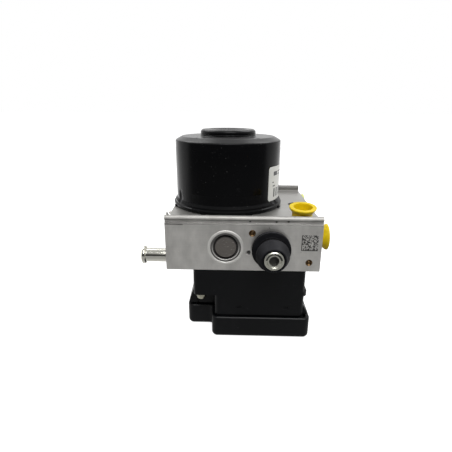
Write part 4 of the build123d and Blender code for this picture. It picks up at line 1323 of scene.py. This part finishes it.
@dataclass
class Fittings:
    """Caps, nipple, closures, bushes and bolts on the block's faces."""

    skins: tuple[tuple[str, str, Finish], ...] = (
        ("port_plug_top", "top_cap", YELLOW), ("port_plug_side_front", "side_cap_front", YELLOW),
        ("port_plug_side_rear", "side_cap_rear", LIT_CAP_YELLOW), ("suction_nipple", "nipple_skin", NIPPLE),
        ("pump_closure_front", "closure_front", STAKED), ("pump_closure_rear", "closure_rear", STAKED),
        ("accumulator_cap_front", "accumulator_lid_front", CLOSURE),
        ("accumulator_cap_rear", "accumulator_lid_rear", CLOSURE),
        ("front_bush", "bush_front", RUBBER), ("rear_bush", "bush_rear", RUBBER),
        ("front_bush_bolt", "bush_bolt_front", BOLT), ("rear_bush_bolt", "bush_bolt_rear", BOLT),
        ("ball_plugs", "passage_plugs", COPPER),
    )
    rings: tuple[tuple[str, Face, Point], ...] = (
        ("stake_ring_front", Face.FRONT, (0.0, -55.2, 66.0)),
        ("stake_ring_rear", Face.REAR, (0.0, 44.8, 66.0)),
    )
    ring_radius: float = 10.8
    ring_width: float = 1.9
    ring_height: float = 0.32
    ring_sink: float = 0.3

    def stake_ring(self, name: str, face: Face, centre: Point) -> None:
        """The bright ring of block metal that was rolled over a pump closure.

        Args:
            name: the piece's name.
            face: the side of the block.
            centre: the ring's centre on that face.
        """
        half, top, foot = self.ring_width / 2, self.ring_height, -self.ring_sink
        section = ((-1.0, foot), (1.0, foot), (1.0, 0.0), (0.7, top * 0.7), (0.3, top), (-0.3, top),
                   (-0.7, top * 0.7), (-1.0, 0.0))
        piece = spun(name, [(self.ring_radius + half * share, height) for share, height in section])
        stand_on(piece, face, centre)
        smooth(piece, 50)
        carry(piece, ROLLED)

    def build(self) -> None:
        """Makes the skins of the fittings and the staked rings."""
        for node, name, finish in self.skins:
            skin_of(node, name, finish)
        for name, face, centre in self.rings:
            self.stake_ring(name, face, centre)


@dataclass
class ControlUnit:
    """Black plastic control unit with its cover, screws and socket."""

    edge_mm: float = 0.3

    def build(self) -> None:
        """Makes the skins of the housing, the cover and the screws."""
        skin_of("ecu_housing", "unit_housing", UNIT, bevel_mm=self.edge_mm)
        skin_of("ecu_cover", "unit_cover", UNIT)
        skin_of("ecu_screws", "unit_screws", ZINC)


@dataclass
class Inside:
    """Finishes of the CAD nodes that stay as they are."""

    finishes: dict[str, Finish] = field(default_factory=NODE_FINISH.copy)

    def build(self) -> None:
        """Dresses every CAD node that no piece stands for."""
        for node, item in frame["nodes"].items():
            if item.hide_render:
                continue
            finish = next((f for key, f in self.finishes.items() if node.startswith(key)), None)
            if finish is None:
                LOG.warning("%s has no finish", node)
                continue
            item.data.materials.clear()
            item.data.materials.append(finish.material())
            LOG.info("%s: %s", node, finish.name)


@dataclass
class Studio:
    """Floor, lamps, world and the camera that matches the photograph."""

    camera_at: Point = (5.314, -264.21, 149.738)
    down: float = 18.282
    left: float = 1.4
    roll: float = 0.378
    focal_px: float = 350.9
    frame_px: float = 452.0
    sensor_mm: float = 36.0
    white: Colour = (1.0, 1.0, 1.0)
    floor_size: float = 30.0
    floor_drop: float = 0.00005
    floor_matt: Colour = (0.20, 0.20, 0.20)
    floor_shown: Colour = (0.45, 0.45, 0.45)
    floor_glow: float = 0.84
    floor_gloss: float = 0.05
    white_near: float = -140.0
    white_far: float = 120.0
    world_front: float = 0.04
    world_top: float = 0.50
    fade_from: float = -0.9
    fade_to: float = 0.2
    dim_from: float = 0.30
    dim_to: float = 0.80
    white_from: float = 0.2
    white_below: float = 0.35
    aim: Point = (0.0, 0.0, 0.07)
    boxes: tuple[tuple[str, Point, float, float], ...] = (
        ("left_box", (-0.52, 0.34, 0.82), 0.5, 4.0), ("right_box", (0.52, 0.34, 0.82), 0.5, 4.0),
        ("front_fill", (0.12, -0.62, 0.86), 0.6, 8.5),
    )

    def camera(self) -> None:
        """Places the camera from the fitted angles."""
        data = bpy.data.cameras.new("photo_camera")
        camera = bpy.data.objects.new("photo_camera", data)
        bpy.context.scene.collection.objects.link(camera)
        down, yaw, roll = (math.radians(v) for v in (self.down, -self.left, self.roll))
        ahead = Vector((math.sin(yaw) * math.cos(down), math.cos(yaw) * math.cos(down), -math.sin(down)))
        across = Vector((math.cos(yaw), -math.sin(yaw), 0))
        up = across.cross(ahead)
        right = math.cos(roll) * across + math.sin(roll) * up
        top = -math.sin(roll) * across + math.cos(roll) * up
        turn = Matrix((right, top, -ahead)).transposed()
        camera.matrix_world = Matrix.Translation(Vector(self.camera_at) * MM) @ turn.to_4x4()
        data.sensor_width = self.sensor_mm
        data.lens = self.sensor_mm * self.focal_px / self.frame_px
        data.clip_start, data.clip_end = 0.01, 100.0
        bpy.context.scene.camera = camera

    def floor(self) -> None:
        """Pale floor that shows white to the camera and keeps a soft shadow."""
        piece = start("studio_floor", bpy.ops.mesh.primitive_plane_add, size=self.floor_size,
                      location=(0, 0, -self.floor_drop))
        settle(piece)
        graph = Graph("pale_floor")
        eye, through, glossy = graph.rays("Camera", "Transmission", "Glossy")
        _, depth, _ = graph.axes()
        share = graph.eased(depth, self.white_near, self.white_far, self.floor_gloss)
        seen = (eye + through + glossy * share).held()
        matt = graph.add("ShaderNodeBsdfDiffuse", None, {"Color": self.floor_matt})
        shown = graph.add("ShaderNodeBsdfDiffuse", None, {"Color": self.floor_shown})
        glow = graph.add("ShaderNodeEmission", None, {"Color": self.white, "Strength": self.floor_glow})
        lit = graph.add("ShaderNodeAddShader", None, {0: shown.outputs[0], 1: glow.outputs[0]})
        piece.data.materials.append(graph.blend(seen, matt, lit))

    def world(self) -> None:
        """White studio: white behind the module, darker above it and on the camera's side."""
        graph = Graph("studio", world=True)
        _, depth, height = graph.axes(graph.coords.outputs["Generated"])
        rear = graph.eased(depth, self.fade_from, self.fade_to, self.world_front)
        over = graph.eased(height, self.dim_from, self.dim_to)
        level = rear + over * (self.world_top - rear)
        eye, through, glossy = graph.rays("Camera", "Transmission", "Glossy")
        mirrored = (glossy + through) * (depth > self.white_from) * (height < self.white_below)
        lit = graph.add("ShaderNodeBackground", None, {"Color": self.white, "Strength": level})
        plain = graph.add("ShaderNodeBackground", None, {"Color": self.white, "Strength": 1.0})
        bpy.context.scene.world = graph.blend((eye + mirrored).held(), lit, plain)

    def lamp(self, name: str, place: Point, size: float, power: float) -> None:
        """A square soft lamp that points at the module.

        Args:
            name: the lamp's name.
            place: its place in metres.
            size: its side in metres.
            power: watts.
        """
        data = bpy.data.lights.new(name, "AREA")
        data.shape, data.size, data.energy = "SQUARE", size, power
        lamp = bpy.data.objects.new(name, data)
        lamp.location = place
        lamp.rotation_euler = (Vector(self.aim) - Vector(place)).to_track_quat("-Z", "Y").to_euler()
        bpy.context.scene.collection.objects.link(lamp)

    def build(self) -> None:
        """Sets up the studio."""
        bpy.context.scene.view_settings.view_transform = "Standard"
        self.camera()
        self.floor()
        self.world()
        for name, place, size, power in self.boxes:
            self.lamp(name, place, size, power)


def main() -> None:
    """Builds the scene in order and reports each piece."""
    logging.basicConfig(level=logging.INFO, format="%(message)s")
    Studio().build()
    for assembly in (Block(), Motor(), Fittings(), ControlUnit(), Inside()):
        assembly.build()


if __name__ == "__main__":
    main()
